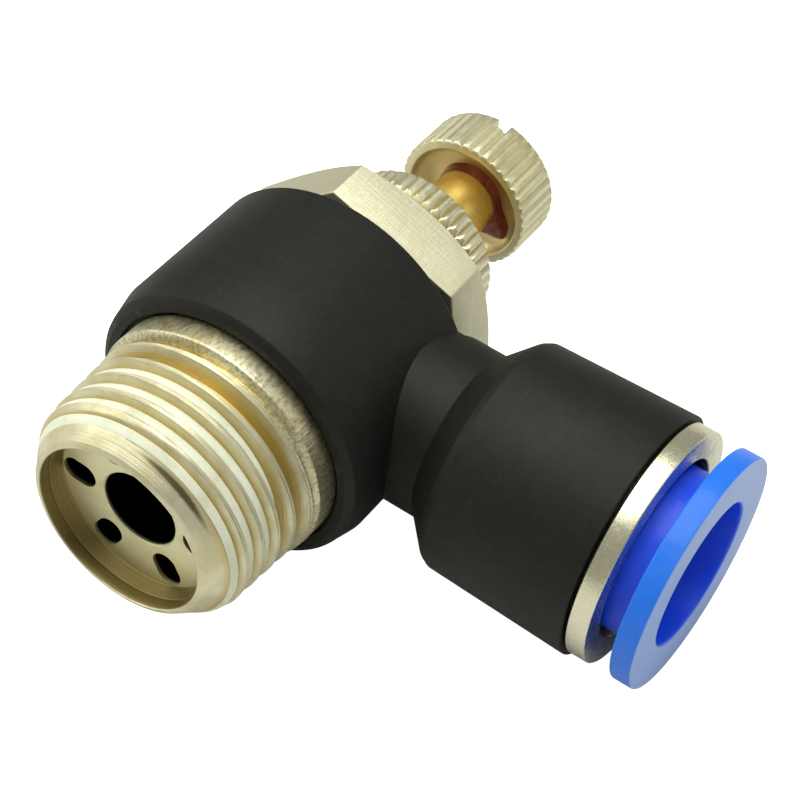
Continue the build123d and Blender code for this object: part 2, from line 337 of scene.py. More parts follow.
def hand_over(piece: Piece, body: str, slot: str, surface: Paint,
              stands_for: tuple[str, ...]) -> None:
    """Shade, dress and attach a finished piece.

    Args:
        piece: the finished piece.
        body: the CAD body it moves with.
        slot: the material slot's name; not used.
        surface: the material it wears.
        stands_for: CAD nodes that it replaces.
    """
    choose(piece)
    bpy.ops.object.shade_smooth_by_angle(angle=SMOOTH_BELOW)
    piece.data.materials.clear()
    piece.data.materials.append(surface)
    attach(piece, body)
    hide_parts(*stands_for)
    mesh = bmesh.new()
    mesh.from_mesh(piece.data)
    open_edges = sum(not edge.is_manifold for edge in mesh.edges)
    mesh.free()
    log.info("%s: %d faces, %d open edges, rides on %s", piece.name, len(piece.data.polygons), open_edges,
             body)


def dress_node(node: str, slot: str, surface: Paint) -> None:
    """Give a carried-over CAD node its material.

    Args:
        node: the CAD node's name.
        slot: the material slot's name; not used.
        surface: the material it wears.
    """
    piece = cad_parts[node]
    piece.data.materials.clear()
    piece.data.materials.append(surface)
    log.info("%s: kept from the CAD model", node)


# ---- shader groups shared by the finishes ---------------------------------------------------------------


class Wiring:
    """Adds and joins the nodes of one shader tree."""

    def __init__(self, tree: bpy.types.NodeTree) -> None:
        """Start wiring in a node tree."""
        self.tree = tree

    def add(self, kind: str, **settings: object) -> bpy.types.Node:
        """Add a node and set its properties by name."""
        node = self.tree.nodes.new(kind)
        for name, value in settings.items():
            setattr(node, name, value)
        return node

    def feed(self, source: object, target: Socket) -> None:
        """Join an output to an input, or set the input's own value."""
        if isinstance(source, Socket):
            self.tree.links.new(source, target)
        else:
            target.default_value = source

    def sum(self, operation: str, first: object, second: object = 0.0, third: object = 0.0) -> Socket:
        """Add a math node and return its result."""
        node = self.add("ShaderNodeMath", operation=operation)
        for source, target in zip((first, second, third), node.inputs):
            self.feed(source, target)
        return node.outputs[0]

    def flip(self, share: object) -> Socket:
        """Return one less a share."""
        return self.sum("SUBTRACT", 1.0, share)

    def pair(self, across: object, along: object) -> Socket:
        """Return a coordinate made of a place across and a place along the axis."""
        node = self.add("ShaderNodeCombineXYZ")
        self.feed(across, node.inputs[0])
        self.feed(along, node.inputs[1])
        return node.outputs[0]

    def rise(self, value: object, start: object, end: object) -> Socket:
        """Return a smooth 0 to 1 step of a value between start and end."""
        node = self.add("ShaderNodeMapRange", interpolation_type="SMOOTHSTEP")
        for source, target in zip((value, start, end, 0.0, 1.0), node.inputs):
            self.feed(source, target)
        return node.outputs[0]

    def blend(self, share: object, first: object, second: object) -> Socket:
        """Mix two colours and return the result."""
        node = self.add("ShaderNodeMix", data_type="RGBA")
        self.feed(share, node.inputs[0])
        self.feed(first, node.inputs[6])
        self.feed(second, node.inputs[7])
        return node.outputs[2]

    def speckle(self, vector: object, scale: object, detail: float = 3.0,
                roughness: float = 0.55) -> Socket:
        """Add a noise texture and return its value."""
        node = self.add("ShaderNodeTexNoise")
        settings = {"Vector": vector, "Scale": scale, "Detail": detail, "Roughness": roughness}
        for name, source in settings.items():
            self.feed(source, node.inputs[name])
        return node.outputs["Fac"]

    def stretch(self, vector: object, scale: tuple[float, float, float], turn: float = 0.0) -> Socket:
        """Scale a coordinate per axis after turning it about Y, and return it.

        Args:
            vector: the coordinate.
            scale: factors along X, Y and Z.
            turn: turn about Y, in radians.

        Returns:
            The mapped coordinate.
        """
        turned_by = self.add("ShaderNodeMapping")
        turned_by.inputs["Rotation"].default_value = (0, turn, 0)
        self.feed(vector, turned_by.inputs["Vector"])
        scaled = self.add("ShaderNodeMapping")
        scaled.inputs["Scale"].default_value = scale
        self.feed(turned_by.outputs[0], scaled.inputs["Vector"])
        return scaled.outputs[0]


class SharedGroup:
    """A shader node group that several finishes place with their own values."""

    def __init__(self, name: str, inputs: dict[str, object], outputs: tuple[str, ...]) -> None:
        """Make the group and its sockets.

        Args:
            name: the group's name.
            inputs: socket names with default values; None makes a vector socket.
            outputs: names of the float outputs.
        """
        self.tree = bpy.data.node_groups.new(name, "ShaderNodeTree")
        for label, value in inputs.items():
            kind = "NodeSocketVector" if value is None else "NodeSocketFloat"
            socket = self.tree.interface.new_socket(label, in_out="INPUT", socket_type=kind)
            if value is not None:
                socket.default_value = value
        for label in outputs:
            self.tree.interface.new_socket(label, in_out="OUTPUT", socket_type="NodeSocketFloat")
        self.wiring = Wiring(self.tree)
        self.given = self.wiring.add("NodeGroupInput").outputs
        self.result = self.wiring.add("NodeGroupOutput").inputs

    def place(self, wiring: Wiring, **values: object) -> bpy.types.Node:
        """Put the group in a material, with values or links for its inputs."""
        node = wiring.add("ShaderNodeGroup", node_tree=self.tree)
        for label, value in values.items():
            wiring.feed(value, node.inputs[label.replace("_", " ").capitalize()])
        return node


def round_place_group() -> SharedGroup:
    """Build the group that gives a point's radius from the Y axis and height along it, in millimetres."""
    group = SharedGroup("round_place", {"Vector": None}, ("Radius", "Height"))
    wiring = group.wiring
    parts = wiring.add("ShaderNodeSeparateXYZ")
    wiring.feed(group.given["Vector"], parts.inputs[0])
    squares = wiring.sum("ADD", wiring.sum("POWER", parts.outputs[0], 2.0),
                         wiring.sum("POWER", parts.outputs[2], 2.0))
    wiring.feed(wiring.sum("MULTIPLY", wiring.sum("SQRT", squares), 1 / MM), group.result["Radius"])
    wiring.feed(wiring.sum("MULTIPLY", parts.outputs[1], 1 / MM), group.result["Height"])
    return group


def grain_group() -> SharedGroup:
    """Build the fine two-scale grain: a height for bump and a speckle mask."""
    group = SharedGroup("fine_grain", {"Vector": None, "Scale": 4000.0}, ("Height", "Mask"))
    wiring = group.wiring
    fine = wiring.speckle(group.given["Vector"], group.given["Scale"], 4.0, 0.6)
    coarse = wiring.speckle(group.given["Vector"], wiring.sum("MULTIPLY", group.given["Scale"], 0.22), 2.0)
    both = wiring.sum("ADD", wiring.sum("MULTIPLY", fine, 0.65), wiring.sum("MULTIPLY", coarse, 0.35))
    wiring.feed(both, group.result["Height"])
    wiring.feed(wiring.rise(both, 0.42, 0.62), group.result["Mask"])
    return group


def mottle_group() -> SharedGroup:
    """Build the blotches that stains and tarnish follow: a mask with a cover and a softness."""
    inputs = {"Vector": None, "Scale": 300.0, "Cover": 0.5, "Softness": 0.15}
    group = SharedGroup("mottle", inputs, ("Mask",))
    wiring = group.wiring
    value = wiring.speckle(group.given["Vector"], group.given["Scale"], 5.0, 0.6)
    edge = wiring.flip(group.given["Cover"])
    mask = wiring.rise(value, wiring.sum("SUBTRACT", edge, group.given["Softness"]),
                       wiring.sum("ADD", edge, group.given["Softness"]))
    wiring.feed(mask, group.result["Mask"])
    return group


def worn_edge_group() -> SharedGroup:
    """Build the edge wear mask: 1 on convex edges, 0 on flat surfaces."""
    group = SharedGroup("worn_edge", {"Start": 0.52, "End": 0.62}, ("Mask",))
    wiring = group.wiring
    sharpness = wiring.add("ShaderNodeNewGeometry").outputs["Pointiness"]
    wiring.feed(wiring.rise(sharpness, group.given["Start"], group.given["End"]), group.result["Mask"])
    return group


class Groups:
    """The shared groups, built once."""

    def __init__(self) -> None:
        """Build every shared group."""
        self.round_place = round_place_group()
        self.grain = grain_group()
        self.mottle = mottle_group()
        self.worn_edge = worn_edge_group()


# ---- finishes -------------------------------------------------------------------------------------------


class Tooling(Enum):
    """The marks that a metal surface's last operation leaves."""

    TURNED = "rings about the axis"
    BRUSHED = "lines along the hexagon's flats"
    HATCHED = "fine lines along the axis"
    ROLLED = "thread turns with a hatched collar"
    PRESSED = "fine speckle"


@dataclass(frozen=True)
class Finish:
    """What every finish has: a name, a slot name and the shader's even values."""

    name: str
    slot: str
    roughness: float = 0.4
    metallic: float = 0.0
    specular: float = 0.5
    axle: Axle = Axle.STEM

    def start(self) -> tuple[Paint, Wiring, bpy.types.Node, Socket]:
        """Make the material with its shader and its coordinate.

        Returns:
            The material, its wiring, the shader node, and the object coordinate turned so that the
            piece's own axis is Y.
        """
        surface = bpy.data.materials.new(self.name)
        surface.use_nodes = True
        surface.node_tree.nodes.clear()
        wiring = Wiring(surface.node_tree)
        shader = wiring.add("ShaderNodeBsdfPrincipled")
        shader.inputs["Roughness"].default_value = self.roughness
        shader.inputs["Metallic"].default_value = self.metallic
        shader.inputs["Specular IOR Level"].default_value = self.specular
        wiring.feed(shader.outputs[0], wiring.add("ShaderNodeOutputMaterial").inputs["Surface"])
        place = wiring.add("ShaderNodeTexCoord").outputs["Object"]
        if self.axle is Axle.BRANCH:
            centred = wiring.add("ShaderNodeMapping")
            centred.inputs["Location"].default_value = (0, -BRANCH_HEIGHT * MM, 0)
            wiring.feed(place, centred.inputs["Vector"])
            swung = wiring.add("ShaderNodeMapping")
            swung.inputs["Rotation"].default_value = (0, 0, math.pi / 2)
            wiring.feed(centred.outputs[0], swung.inputs["Vector"])
            place = swung.outputs[0]
        return surface, wiring, shader, place

    def bump(self, wiring: Wiring, shader: bpy.types.Node, height: object, depth: float) -> None:
        """Feed a height into the shader's normal.

        Args:
            wiring: the material's wiring.
            shader: the shader node.
            height: the height, 0 to 1.
            depth: the relief's depth in millimetres.
        """
        node = wiring.add("ShaderNodeBump")
        node.inputs["Strength"].default_value = 1.0
        node.inputs["Distance"].default_value = depth * MM
        wiring.feed(height, node.inputs["Height"])
        wiring.feed(node.outputs[0], shader.inputs["Normal"])


@dataclass(frozen=True)
class PlatedBrass(Finish):
    """Nickel plate over brass: cream where it is high, with gold-brown painted shade where it lies deep."""

    metallic: float = 1.0
    plate: Colour = paint(228, 225, 200)
    stain: Colour = paint(200, 187, 140)
    # deep: the gold-brown colour of painted shade in grooves and recesses
    deep: Colour = paint(206, 184, 116)
    bore: Colour = paint(16, 13, 8)
    skin_radius: float = 0.0             # 0 where no surface gets the painted groove shade
    skin_taper: float = 0.0
    shade_depth_from: float = 0.05
    shade_depth_to: float = 0.5
    shade_from_height: float = -100.0           # height where the painted shade on sunk surfaces starts
    dark_above: float = 100.0            # height beyond which the metal lies in an unlit bore
    wall_radius: float = 0.0             # radius within which the metal is a bored wall
    wall: Colour = paint(150, 134, 90)
    wall_streak: Colour = paint(220, 206, 156)
    crescent_shade_height: float = -100.0        # where painted shade lies as a brown crescent in the open groove at the thread's run-in
    crescent_shade_angle: float = 0.0            # radians
    crescent_shade_radius: float = 8.8
    crescent_shade_reach: tuple[float, float, float] = (2.0, 0.27, 4.4)   # outwards, along the axis and round it
    crescent_shade: Colour = paint(92, 78, 46)
    tooling: Tooling = Tooling.TURNED
    mark_depth: float = 0.006
    stain_cover: float = 0.45

    def marks(self, wiring: Wiring, place: Socket, radius: Socket,
              height: Socket) -> Socket:
        """Return the height of the tool marks.

        Args:
            wiring: the material's wiring.
            place: coordinate with the axis along Y.
            radius: distance from the axis, in millimetres.
            height: distance along the axis, in millimetres.

        Returns:
            The marks' height, 0 to 1.
        """
        rings = wiring.pair(radius, height)
        if self.tooling is Tooling.TURNED:
            return wiring.speckle(rings, 9.0, 5.0, 0.7)
        if self.tooling is Tooling.PRESSED:
            return wiring.speckle(place, 5200.0, 3.0, 0.6)
        if self.tooling is Tooling.BRUSHED:
            hatch = wiring.speckle(wiring.stretch(place, (1, 0.12, 1)), 4200.0)
            lines = wiring.speckle(wiring.pair(0.0, height), 6.0, 3.0, 0.7)
            return wiring.sum("MULTIPLY_ADD", hatch, 0.6, lines)
        axial = wiring.speckle(wiring.stretch(place, (1, 0.1, 1)), 4200.0, 3.0, 0.6)
        if self.tooling is Tooling.HATCHED:
            return axial
        lines = wiring.speckle(rings, 8.0, 3.0, 0.7)
        collar = wiring.rise(height, 10.9, 11.4)
        return wiring.sum("MULTIPLY_ADD", axial, collar, wiring.sum("MULTIPLY", lines, wiring.flip(collar)))

    def run_in(self, wiring: Wiring, place: Socket, ragged: Socket) -> Socket:
        """Return the mask of the painted shade: a brown crescent where the thread's first turn leaves the
        chamfer.

        Args:
            wiring: the material's wiring.
            place: coordinate with the axis along Y.
            ragged: a height that makes the crescent's edge uneven.

        Returns:
            The crescent's mask, 0 to 1.
        """
        centre = Axle.STEM.point(self.crescent_shade_radius, self.crescent_shade_height, self.crescent_shade_angle)
        spot = wiring.add("ShaderNodeMapping", vector_type="TEXTURE")
        spot.inputs["Location"].default_value = centre
        spot.inputs["Rotation"].default_value = (0, -self.crescent_shade_angle, 0)
        spot.inputs["Scale"].default_value = [length * MM for length in self.crescent_shade_reach]
        wiring.feed(place, spot.inputs["Vector"])
        reach = wiring.add("ShaderNodeVectorMath", operation="LENGTH")
        wiring.feed(spot.outputs[0], reach.inputs[0])
        far = wiring.sum("MULTIPLY_ADD", ragged, 0.3, reach.outputs["Value"])
        return wiring.flip(wiring.rise(far, 0.6, 1.3))

    def build(self, groups: Groups) -> Paint:
        """Make the material.

        Args:
            groups: the shared node groups.

        Returns:
            The plated metal's material.
        """
        surface, wiring, shader, place = self.start()
        around = groups.round_place.place(wiring, vector=place)
        radius, height = around.outputs["Radius"], around.outputs["Height"]
        skin = wiring.sum("MULTIPLY_ADD", height, self.skin_taper, self.skin_radius)
        depth = wiring.sum("SUBTRACT", skin, radius)
        groove_shade_mask = wiring.sum("MULTIPLY", wiring.rise(depth, self.shade_depth_from, self.shade_depth_to),
                          wiring.rise(height, self.shade_from_height, self.shade_from_height + 0.8))
        blotch = groups.mottle.place(
            wiring, vector=place, scale=260.0, cover=self.stain_cover, softness=0.16).outputs["Mask"]
        fine = groups.mottle.place(wiring, vector=place, scale=1900.0, cover=0.33, softness=0.10)
        grain = groups.grain.place(wiring, vector=place, scale=5200.0)
        colour = wiring.blend(wiring.sum("MULTIPLY", blotch, 0.45), self.plate, self.stain)
        colour = wiring.blend(wiring.sum("MULTIPLY", fine.outputs["Mask"], 0.28), colour, self.stain)
        # painted shade: grooves and recesses turn gold brown with their depth below the skin
        colour = wiring.blend(wiring.sum("MULTIPLY", groove_shade_mask, 0.9), colour, self.deep)
        streaks = wiring.rise(wiring.speckle(wiring.pair(0.0, height), 1.9, 3.0, 0.7), 0.56, 0.66)
        bored = wiring.flip(wiring.rise(radius, self.wall_radius - 0.04, self.wall_radius))
        colour = wiring.blend(bored, colour, wiring.blend(streaks, self.wall, self.wall_streak))
        if self.tooling is Tooling.ROLLED:
            rubbed = wiring.speckle(wiring.stretch(place, (1, 0.4, 1)), 3400.0, 3.0, 0.7)
            matt = wiring.sum("MULTIPLY", wiring.rise(rubbed, 0.44, 0.62), wiring.rise(height, 9.9, 10.5))
            colour = wiring.blend(wiring.sum("MULTIPLY", matt, 0.55), colour, self.wall)
            # painted shade: a dark brown crescent in the unsealed groove of the first turn
            crescent_shade_mask = self.run_in(wiring, place, grain.outputs["Height"])
            colour = wiring.blend(wiring.sum("MULTIPLY", crescent_shade_mask, 0.9), colour, self.crescent_shade)
        unlit = wiring.rise(height, self.dark_above, self.dark_above + 0.3)
        colour = wiring.blend(unlit, colour, self.bore)
        wiring.feed(colour, shader.inputs["Base Color"])
        gloss = wiring.sum("MULTIPLY_ADD", grain.outputs["Mask"], 0.10, self.roughness - 0.05)
        wiring.feed(wiring.sum("MULTIPLY_ADD", blotch, 0.06, gloss), shader.inputs["Roughness"])
        marks = self.marks(wiring, place, radius, height)
        relief = wiring.sum("MULTIPLY_ADD", grain.outputs["Height"], 0.25, marks)
        self.bump(wiring, shader, relief, self.mark_depth)
        return surface


@dataclass(frozen=True)
class BareBrass(Finish):
    """Unplated brass with the rings that the tool leaves."""

    metallic: float = 1.0
    bright: Colour = paint(255, 232, 144)
    dull: Colour = paint(228, 184, 90)
    ring_scale: float = 5.0
    mark_depth: float = 0.02

    def build(self, groups: Groups) -> Paint:
        """Make the material from the shared node groups."""
        surface, wiring, shader, place = self.start()
        around = groups.round_place.place(wiring, vector=place)
        lines = wiring.speckle(wiring.pair(0.0, around.outputs["Height"]), self.ring_scale, 3.0, 0.7)
        blotch = groups.mottle.place(wiring, vector=place, scale=500.0, cover=0.5, softness=0.2)
        share = wiring.sum("MULTIPLY_ADD", wiring.rise(lines, 0.35, 0.65), 0.45,
                           wiring.sum("MULTIPLY", blotch.outputs["Mask"], 0.4))
        wiring.feed(wiring.blend(share, self.bright, self.dull), shader.inputs["Base Color"])
        gloss = wiring.sum("MULTIPLY_ADD", lines, 0.12, self.roughness - 0.06)
        wiring.feed(gloss, shader.inputs["Roughness"])
        self.bump(wiring, shader, lines, self.mark_depth)
        return surface


@dataclass(frozen=True)
class MouldedPlastic(Finish):
    """Moulded plastic with a fine grain, faint scuffs and paler worn edges."""

    base: Colour = paint(13, 14, 11)
    scuff: Colour = paint(58, 62, 56)
    edge: Colour = paint(46, 50, 44)
    grain_depth: float = 0.004
    grain_scale: float = 3600.0
    scuff_share: float = 0.5

    def build(self, groups: Groups) -> Paint:
        """Make the material.

        Args:
            groups: the shared node groups.

        Returns:
            The plastic's material.
        """
        surface, wiring, shader, place = self.start()
        grain = groups.grain.place(wiring, vector=place, scale=self.grain_scale)
        haze = groups.mottle.place(wiring, vector=place, scale=120.0, cover=0.5, softness=0.25)
        scratches = wiring.speckle(wiring.stretch(place, (1.0, 0.06, 1.0), 0.5), 2600.0, 2.0, 0.5)
        scratches = wiring.rise(scratches, 0.68, 0.80)
        crossed = wiring.speckle(wiring.stretch(place, (0.07, 1.0, 0.9), 0.2), 2200.0, 2.0, 0.5)
        marks = wiring.sum("MAXIMUM", scratches, wiring.rise(crossed, 0.70, 0.82))
        marks = wiring.sum("MULTIPLY", marks, haze.outputs["Mask"])
        worn = groups.worn_edge.place(wiring, start=0.53, end=0.66)
        scuffed = wiring.sum("MULTIPLY_ADD", grain.outputs["Mask"], 0.18, marks)
        colour = wiring.blend(wiring.sum("MULTIPLY", scuffed, self.scuff_share), self.base, self.scuff)
        colour = wiring.blend(wiring.sum("MULTIPLY", worn.outputs["Mask"], 0.6), colour, self.edge)
        wiring.feed(colour, shader.inputs["Base Color"])
        gloss = wiring.sum("MULTIPLY_ADD", haze.outputs["Mask"], 0.07, self.roughness - 0.035)
        wiring.feed(wiring.sum("MULTIPLY_ADD", marks, 0.1, gloss), shader.inputs["Roughness"])
        relief = wiring.sum("SUBTRACT", grain.outputs["Height"], wiring.sum("MULTIPLY", marks, 0.8))
        self.bump(wiring, shader, relief, self.grain_depth)
        return surface


@dataclass(frozen=True)
class TintedPlastic(Finish):
    """Glossy dyed plastic, deep blue, with painted light making its flange and its flat front face paler.
    """

    neck: Colour = paint(0, 78, 255)
    # flange: the blue painted paler as light passing through the flange
    flange: Colour = paint(0, 114, 240)
    # face: paler blue painted on the flat front face as light on it
    face: Colour = paint(150, 180, 244)
    flange_from: float = 8.0
    flange_to: float = 9.6
    face_height: float = 100.0
    coat: float = 0.15
    scatter: float = 0.25

    def build(self, groups: Groups) -> Paint:
        """Make the material.

        Args:
            groups: the shared node groups.

        Returns:
            The tinted plastic's material.
        """
        surface, wiring, shader, place = self.start()
        shader.inputs["Coat Weight"].default_value = self.coat
        shader.inputs["Subsurface Weight"].default_value = self.scatter
        shader.inputs["Subsurface Radius"].default_value = (0.3, 0.6, 1.0)
        shader.inputs["Subsurface Scale"].default_value = 1.2 * MM
        around = groups.round_place.place(wiring, vector=place)
        outer = wiring.rise(around.outputs["Radius"], self.flange_from, self.flange_to)
        lit_face_mask = wiring.rise(around.outputs["Height"], self.face_height - 0.12, self.face_height - 0.02)
        grain = groups.grain.place(wiring, vector=place, scale=2600.0)
        haze = groups.mottle.place(wiring, vector=place, scale=150.0, cover=0.5, softness=0.3)
        # painted light: the flange is paler where light passes through it, and the front face paler where
        # lit
        colour = wiring.blend(outer, self.neck, self.flange)
        off_bore = wiring.rise(around.outputs["Radius"], 6.15, 6.45)
        colour = wiring.blend(wiring.sum("MULTIPLY", lit_face_mask, off_bore), colour, self.face)
        colour = wiring.blend(wiring.sum("MULTIPLY", haze.outputs["Mask"], 0.12), colour, self.face)
        wiring.feed(colour, shader.inputs["Base Color"])
        wiring.feed(wiring.sum("MULTIPLY_ADD", haze.outputs["Mask"], 0.08, self.roughness - 0.04),
                    shader.inputs["Roughness"])
        self.bump(wiring, shader, grain.outputs["Height"], 0.003)
        return surface


@dataclass(frozen=True)
class Paste(Finish):
    """Set sealant or locking compound: thick, lumpy, with streaks along the turns."""

    body: Colour = paint(238, 240, 222)
    thin: Colour = paint(205, 208, 176)
    thin_cover: float = 0.4
    lump_depth: float = 0.03
    scatter: float = 0.2
    coat: float = 0.0

    def build(self, groups: Groups) -> Paint:
        """Make the material.

        Args:
            groups: the shared node groups.

        Returns:
            The paste's material.
        """
        surface, wiring, shader, place = self.start()
        shader.inputs["Subsurface Weight"].default_value = self.scatter
        shader.inputs["Subsurface Scale"].default_value = 0.4 * MM
        shader.inputs["Coat Weight"].default_value = self.coat
        lumps = wiring.speckle(place, 420.0, 3.0, 0.5)
        grain = groups.grain.place(wiring, vector=place, scale=2400.0)
        pale = groups.mottle.place(wiring, vector=place, scale=340.0, cover=self.thin_cover, softness=0.2)
        share = wiring.sum("MULTIPLY_ADD", grain.outputs["Mask"], 0.12,
                           wiring.sum("MULTIPLY", pale.outputs["Mask"], 0.7))
        wiring.feed(wiring.blend(share, self.body, self.thin), shader.inputs["Base Color"])
        wiring.feed(wiring.sum("MULTIPLY_ADD", pale.outputs["Mask"], 0.12, self.roughness - 0.06),
                    shader.inputs["Roughness"])
        relief = wiring.sum("MULTIPLY_ADD", grain.outputs["Height"], 0.15, lumps)
        self.bump(wiring, shader, relief, self.lump_depth)
        return surface


# ---- sub-assemblies -------------------------------------------------------------------------------------


@dataclass
class ThreadedStem:
    """The stem: R 1/2 taper thread, collar, shank, bore and windows, with the sealant in its turns."""

    groups: Groups
    pitch: float = 1.814
    gauge_radius: float = 10.19
    gauge_height: float = 8.2
    taper: float = 0.0525
    thread_depth: float = 1.162
    flat_width: float = 0.36
    crest_height: float = 1.302          # a crest's height in the direction of +X
    first_turn: float = -2.0
    runout_from: float = 5.0             # turn where the cutter starts to leave the metal
    runout_to: float = 5.5
    last_turn: float = 7.5
    rim_radius: float = 7.96
    rim_rounding: float = 0.24
    chamfer_slope: float = 0.72
    collar_start: float = 11.4
    collar_radius: float = 10.59
    mouth_radius: float = 7.50
    mouth_depth: float = 1.1
    bore_radius: float = 7.40
    shank_radius: float = 9.3
    shank_top: float = 29.25
    seal_heights: tuple[float, float] = (16.2, 28.0)
    seal_width: float = 1.5
    seal_depth: float = 1.05
    window_height: float = 23.0
    window_radius: float = 2.5
    sealant_turns: tuple[float, float] = (-0.74, 3.08)
    chamfer_share: float = 0.272         # how fast the first turn opens as it leaves the chamfer

    def __post_init__(self) -> None:
        """Read the collar from the frame and lay out one pitch of the thread's profile."""
        self.collar_top = low("banjo_body", "y") + 0.4
        flank = self.thread_depth * FLANK
        root = self.pitch - self.flat_width - 2 * flank
        edge = self.flat_width / 2
        bulge, split, rows = 0.012, 0.028, 8
        self.profile = [(-edge, 0.0), (-edge * 0.5, -bulge), (-edge * 0.12, split), (edge * 0.12, split),
                        (edge * 0.5, -bulge), (edge, 0.0)]
        self.profile += [(edge + flank * row / rows, self.thread_depth * row / rows)
                         for row in range(1, rows + 1)]
        self.profile += [(edge + flank + root / 2, self.thread_depth + 0.03)]
        self.profile += [(edge + flank + root + flank * row / rows, self.thread_depth * (1 - row / rows))
                         for row in range(rows + 1)]

    def crest(self, along: float) -> float:
        """Return the crest's radius at a height, stepping out to the collar's at the run-out."""
        crest = self.gauge_radius + (along - self.gauge_height) * self.taper
        return crest + (self.collar_radius - crest) * smooth((along - 9.6) / 1.5)

    def chamfer(self, along: float) -> float:
        """Return the radius of the end chamfer's cone at a height."""
        below = max(0.0, 1 - along / self.rim_rounding)
        return self.rim_radius + self.chamfer_slope * max(along, 0.0) - 0.32 * below * below

    def groove_share(self, turn: float) -> float:
        """Return how deep the groove is at a turn, from 1 to 0 over the run-out."""
        return 1 - smooth((turn - self.runout_from) / (self.runout_to - self.runout_from))

    def thread_point(self, length_share: float, width_share: float) -> Vector:
        """Place one vertex of the thread's sheet from its shares along and across the helix."""
        turn = self.first_turn + (self.last_turn - self.first_turn) * length_share
        offset, depth = self.profile[round(width_share * (len(self.profile) - 1))]
        along = self.crest_height + self.pitch * turn + offset
        radius = self.crest(along) - depth * self.groove_share(turn + offset / self.pitch)
        return Axle.STEM.point(min(radius, self.chamfer(along)), along, -TURN * turn)

    def build_stem(self) -> Piece:
        """Model the stem from a helical sheet, cut square at both ends, closed and bored.

        Returns:
            The stem piece.
        """
        rounds = round((self.last_turn - self.first_turn) * STEPS)
        stem = wrapped("threaded_stem_turned", rounds, len(self.profile) - 1, self.thread_point)
        edit_all(stem)
        bpy.ops.mesh.remove_doubles(threshold=CUT_NEAR)
        for height, outward in ((0.0, -1), (self.collar_start, 1)):
            bpy.ops.mesh.select_all(action="SELECT")
            bpy.ops.mesh.bisect(plane_co=(0, height * MM, 0), plane_no=(0, outward, 0), clear_outer=True,
                                threshold=CUT_NEAR)
            mesh = bmesh.from_edit_mesh(stem.data)
            for vertex in mesh.verts:
                if abs(vertex.co.y - height * MM) < 2 * CUT_NEAR:
                    vertex.co.y = height * MM
            bmesh.update_edit_mesh(stem.data)
            bpy.ops.mesh.select_all(action="SELECT")
            bpy.ops.mesh.remove_doubles(threshold=CUT_NEAR)
        self.lengthen(stem)
        clean(stem)
        combine(stem, self.bore_tool(), "DIFFERENCE")
        for quarter in range(4):
            direction = TURN / 4 * quarter
            deselect()
            bpy.ops.mesh.primitive_cylinder_add(
                vertices=48, radius=self.window_radius * MM, depth=6 * MM,
                location=Axle.STEM.point(self.shank_radius, self.window_height, direction),
                rotation=(0, math.pi / 2 - direction, 0))
            combine(stem, bpy.context.object, "DIFFERENCE")
        return stem

    def lengthen(self, stem: Piece) -> None:
        """Extrude the sheet's upper edge along the collar and shank, and close both ends."""
        half = self.seal_width / 2
        collar, top = self.collar_radius, self.collar_top
        path: Outline = [(collar, self.collar_start + 0.2), (collar, top - 0.12),
                         (collar - 0.04, top - 0.04), (collar - 0.12, top), (self.shank_radius, top)]
        for height in self.seal_heights:
            floor = self.shank_radius - self.seal_depth
            path += [(self.shank_radius, height - half), (floor, height - half),
                     (floor, height + half), (self.shank_radius, height + half)]
        path += [(self.shank_radius, self.shank_top - 0.2), (self.shank_radius - 0.2, self.shank_top)]
        level = 0.0001 * MM
        select_vertices(stem, lambda place: abs(place.y - self.collar_start * MM) < level)
        for radius, along in path:
            bpy.ops.mesh.extrude_edges_move()
            mesh = bmesh.from_edit_mesh(stem.data)
            for vertex in mesh.verts:
                if vertex.select:
                    vertex.co = Axle.STEM.point(radius, along, Axle.STEM.polar(vertex.co)[2])
            bmesh.update_edit_mesh(stem.data)
        bpy.ops.mesh.edge_face_add()
        bpy.ops.object.mode_set(mode="OBJECT")
        select_vertices(stem, lambda place: abs(place.y) < level)
        bpy.ops.mesh.edge_face_add()
        bpy.ops.object.mode_set(mode="OBJECT")

    def bore_tool(self) -> Piece:
        """Return the cutter for the mouth and the bore behind it."""
        mouth, bore, step = self.mouth_radius, self.bore_radius, self.mouth_depth
        return turned("stem_bore_cutter", [
            (0, -1), (mouth + 0.10, -1), (mouth + 0.10, 0), (mouth + 0.03, 0.1), (mouth, 0.22),
            (mouth, step - 0.1), (mouth + 0.04, step - 0.02), (bore + 0.05, step), (bore, step + 0.12),
            (bore, self.shank_top + 1), (0, self.shank_top + 1),
        ], Axle.STEM)

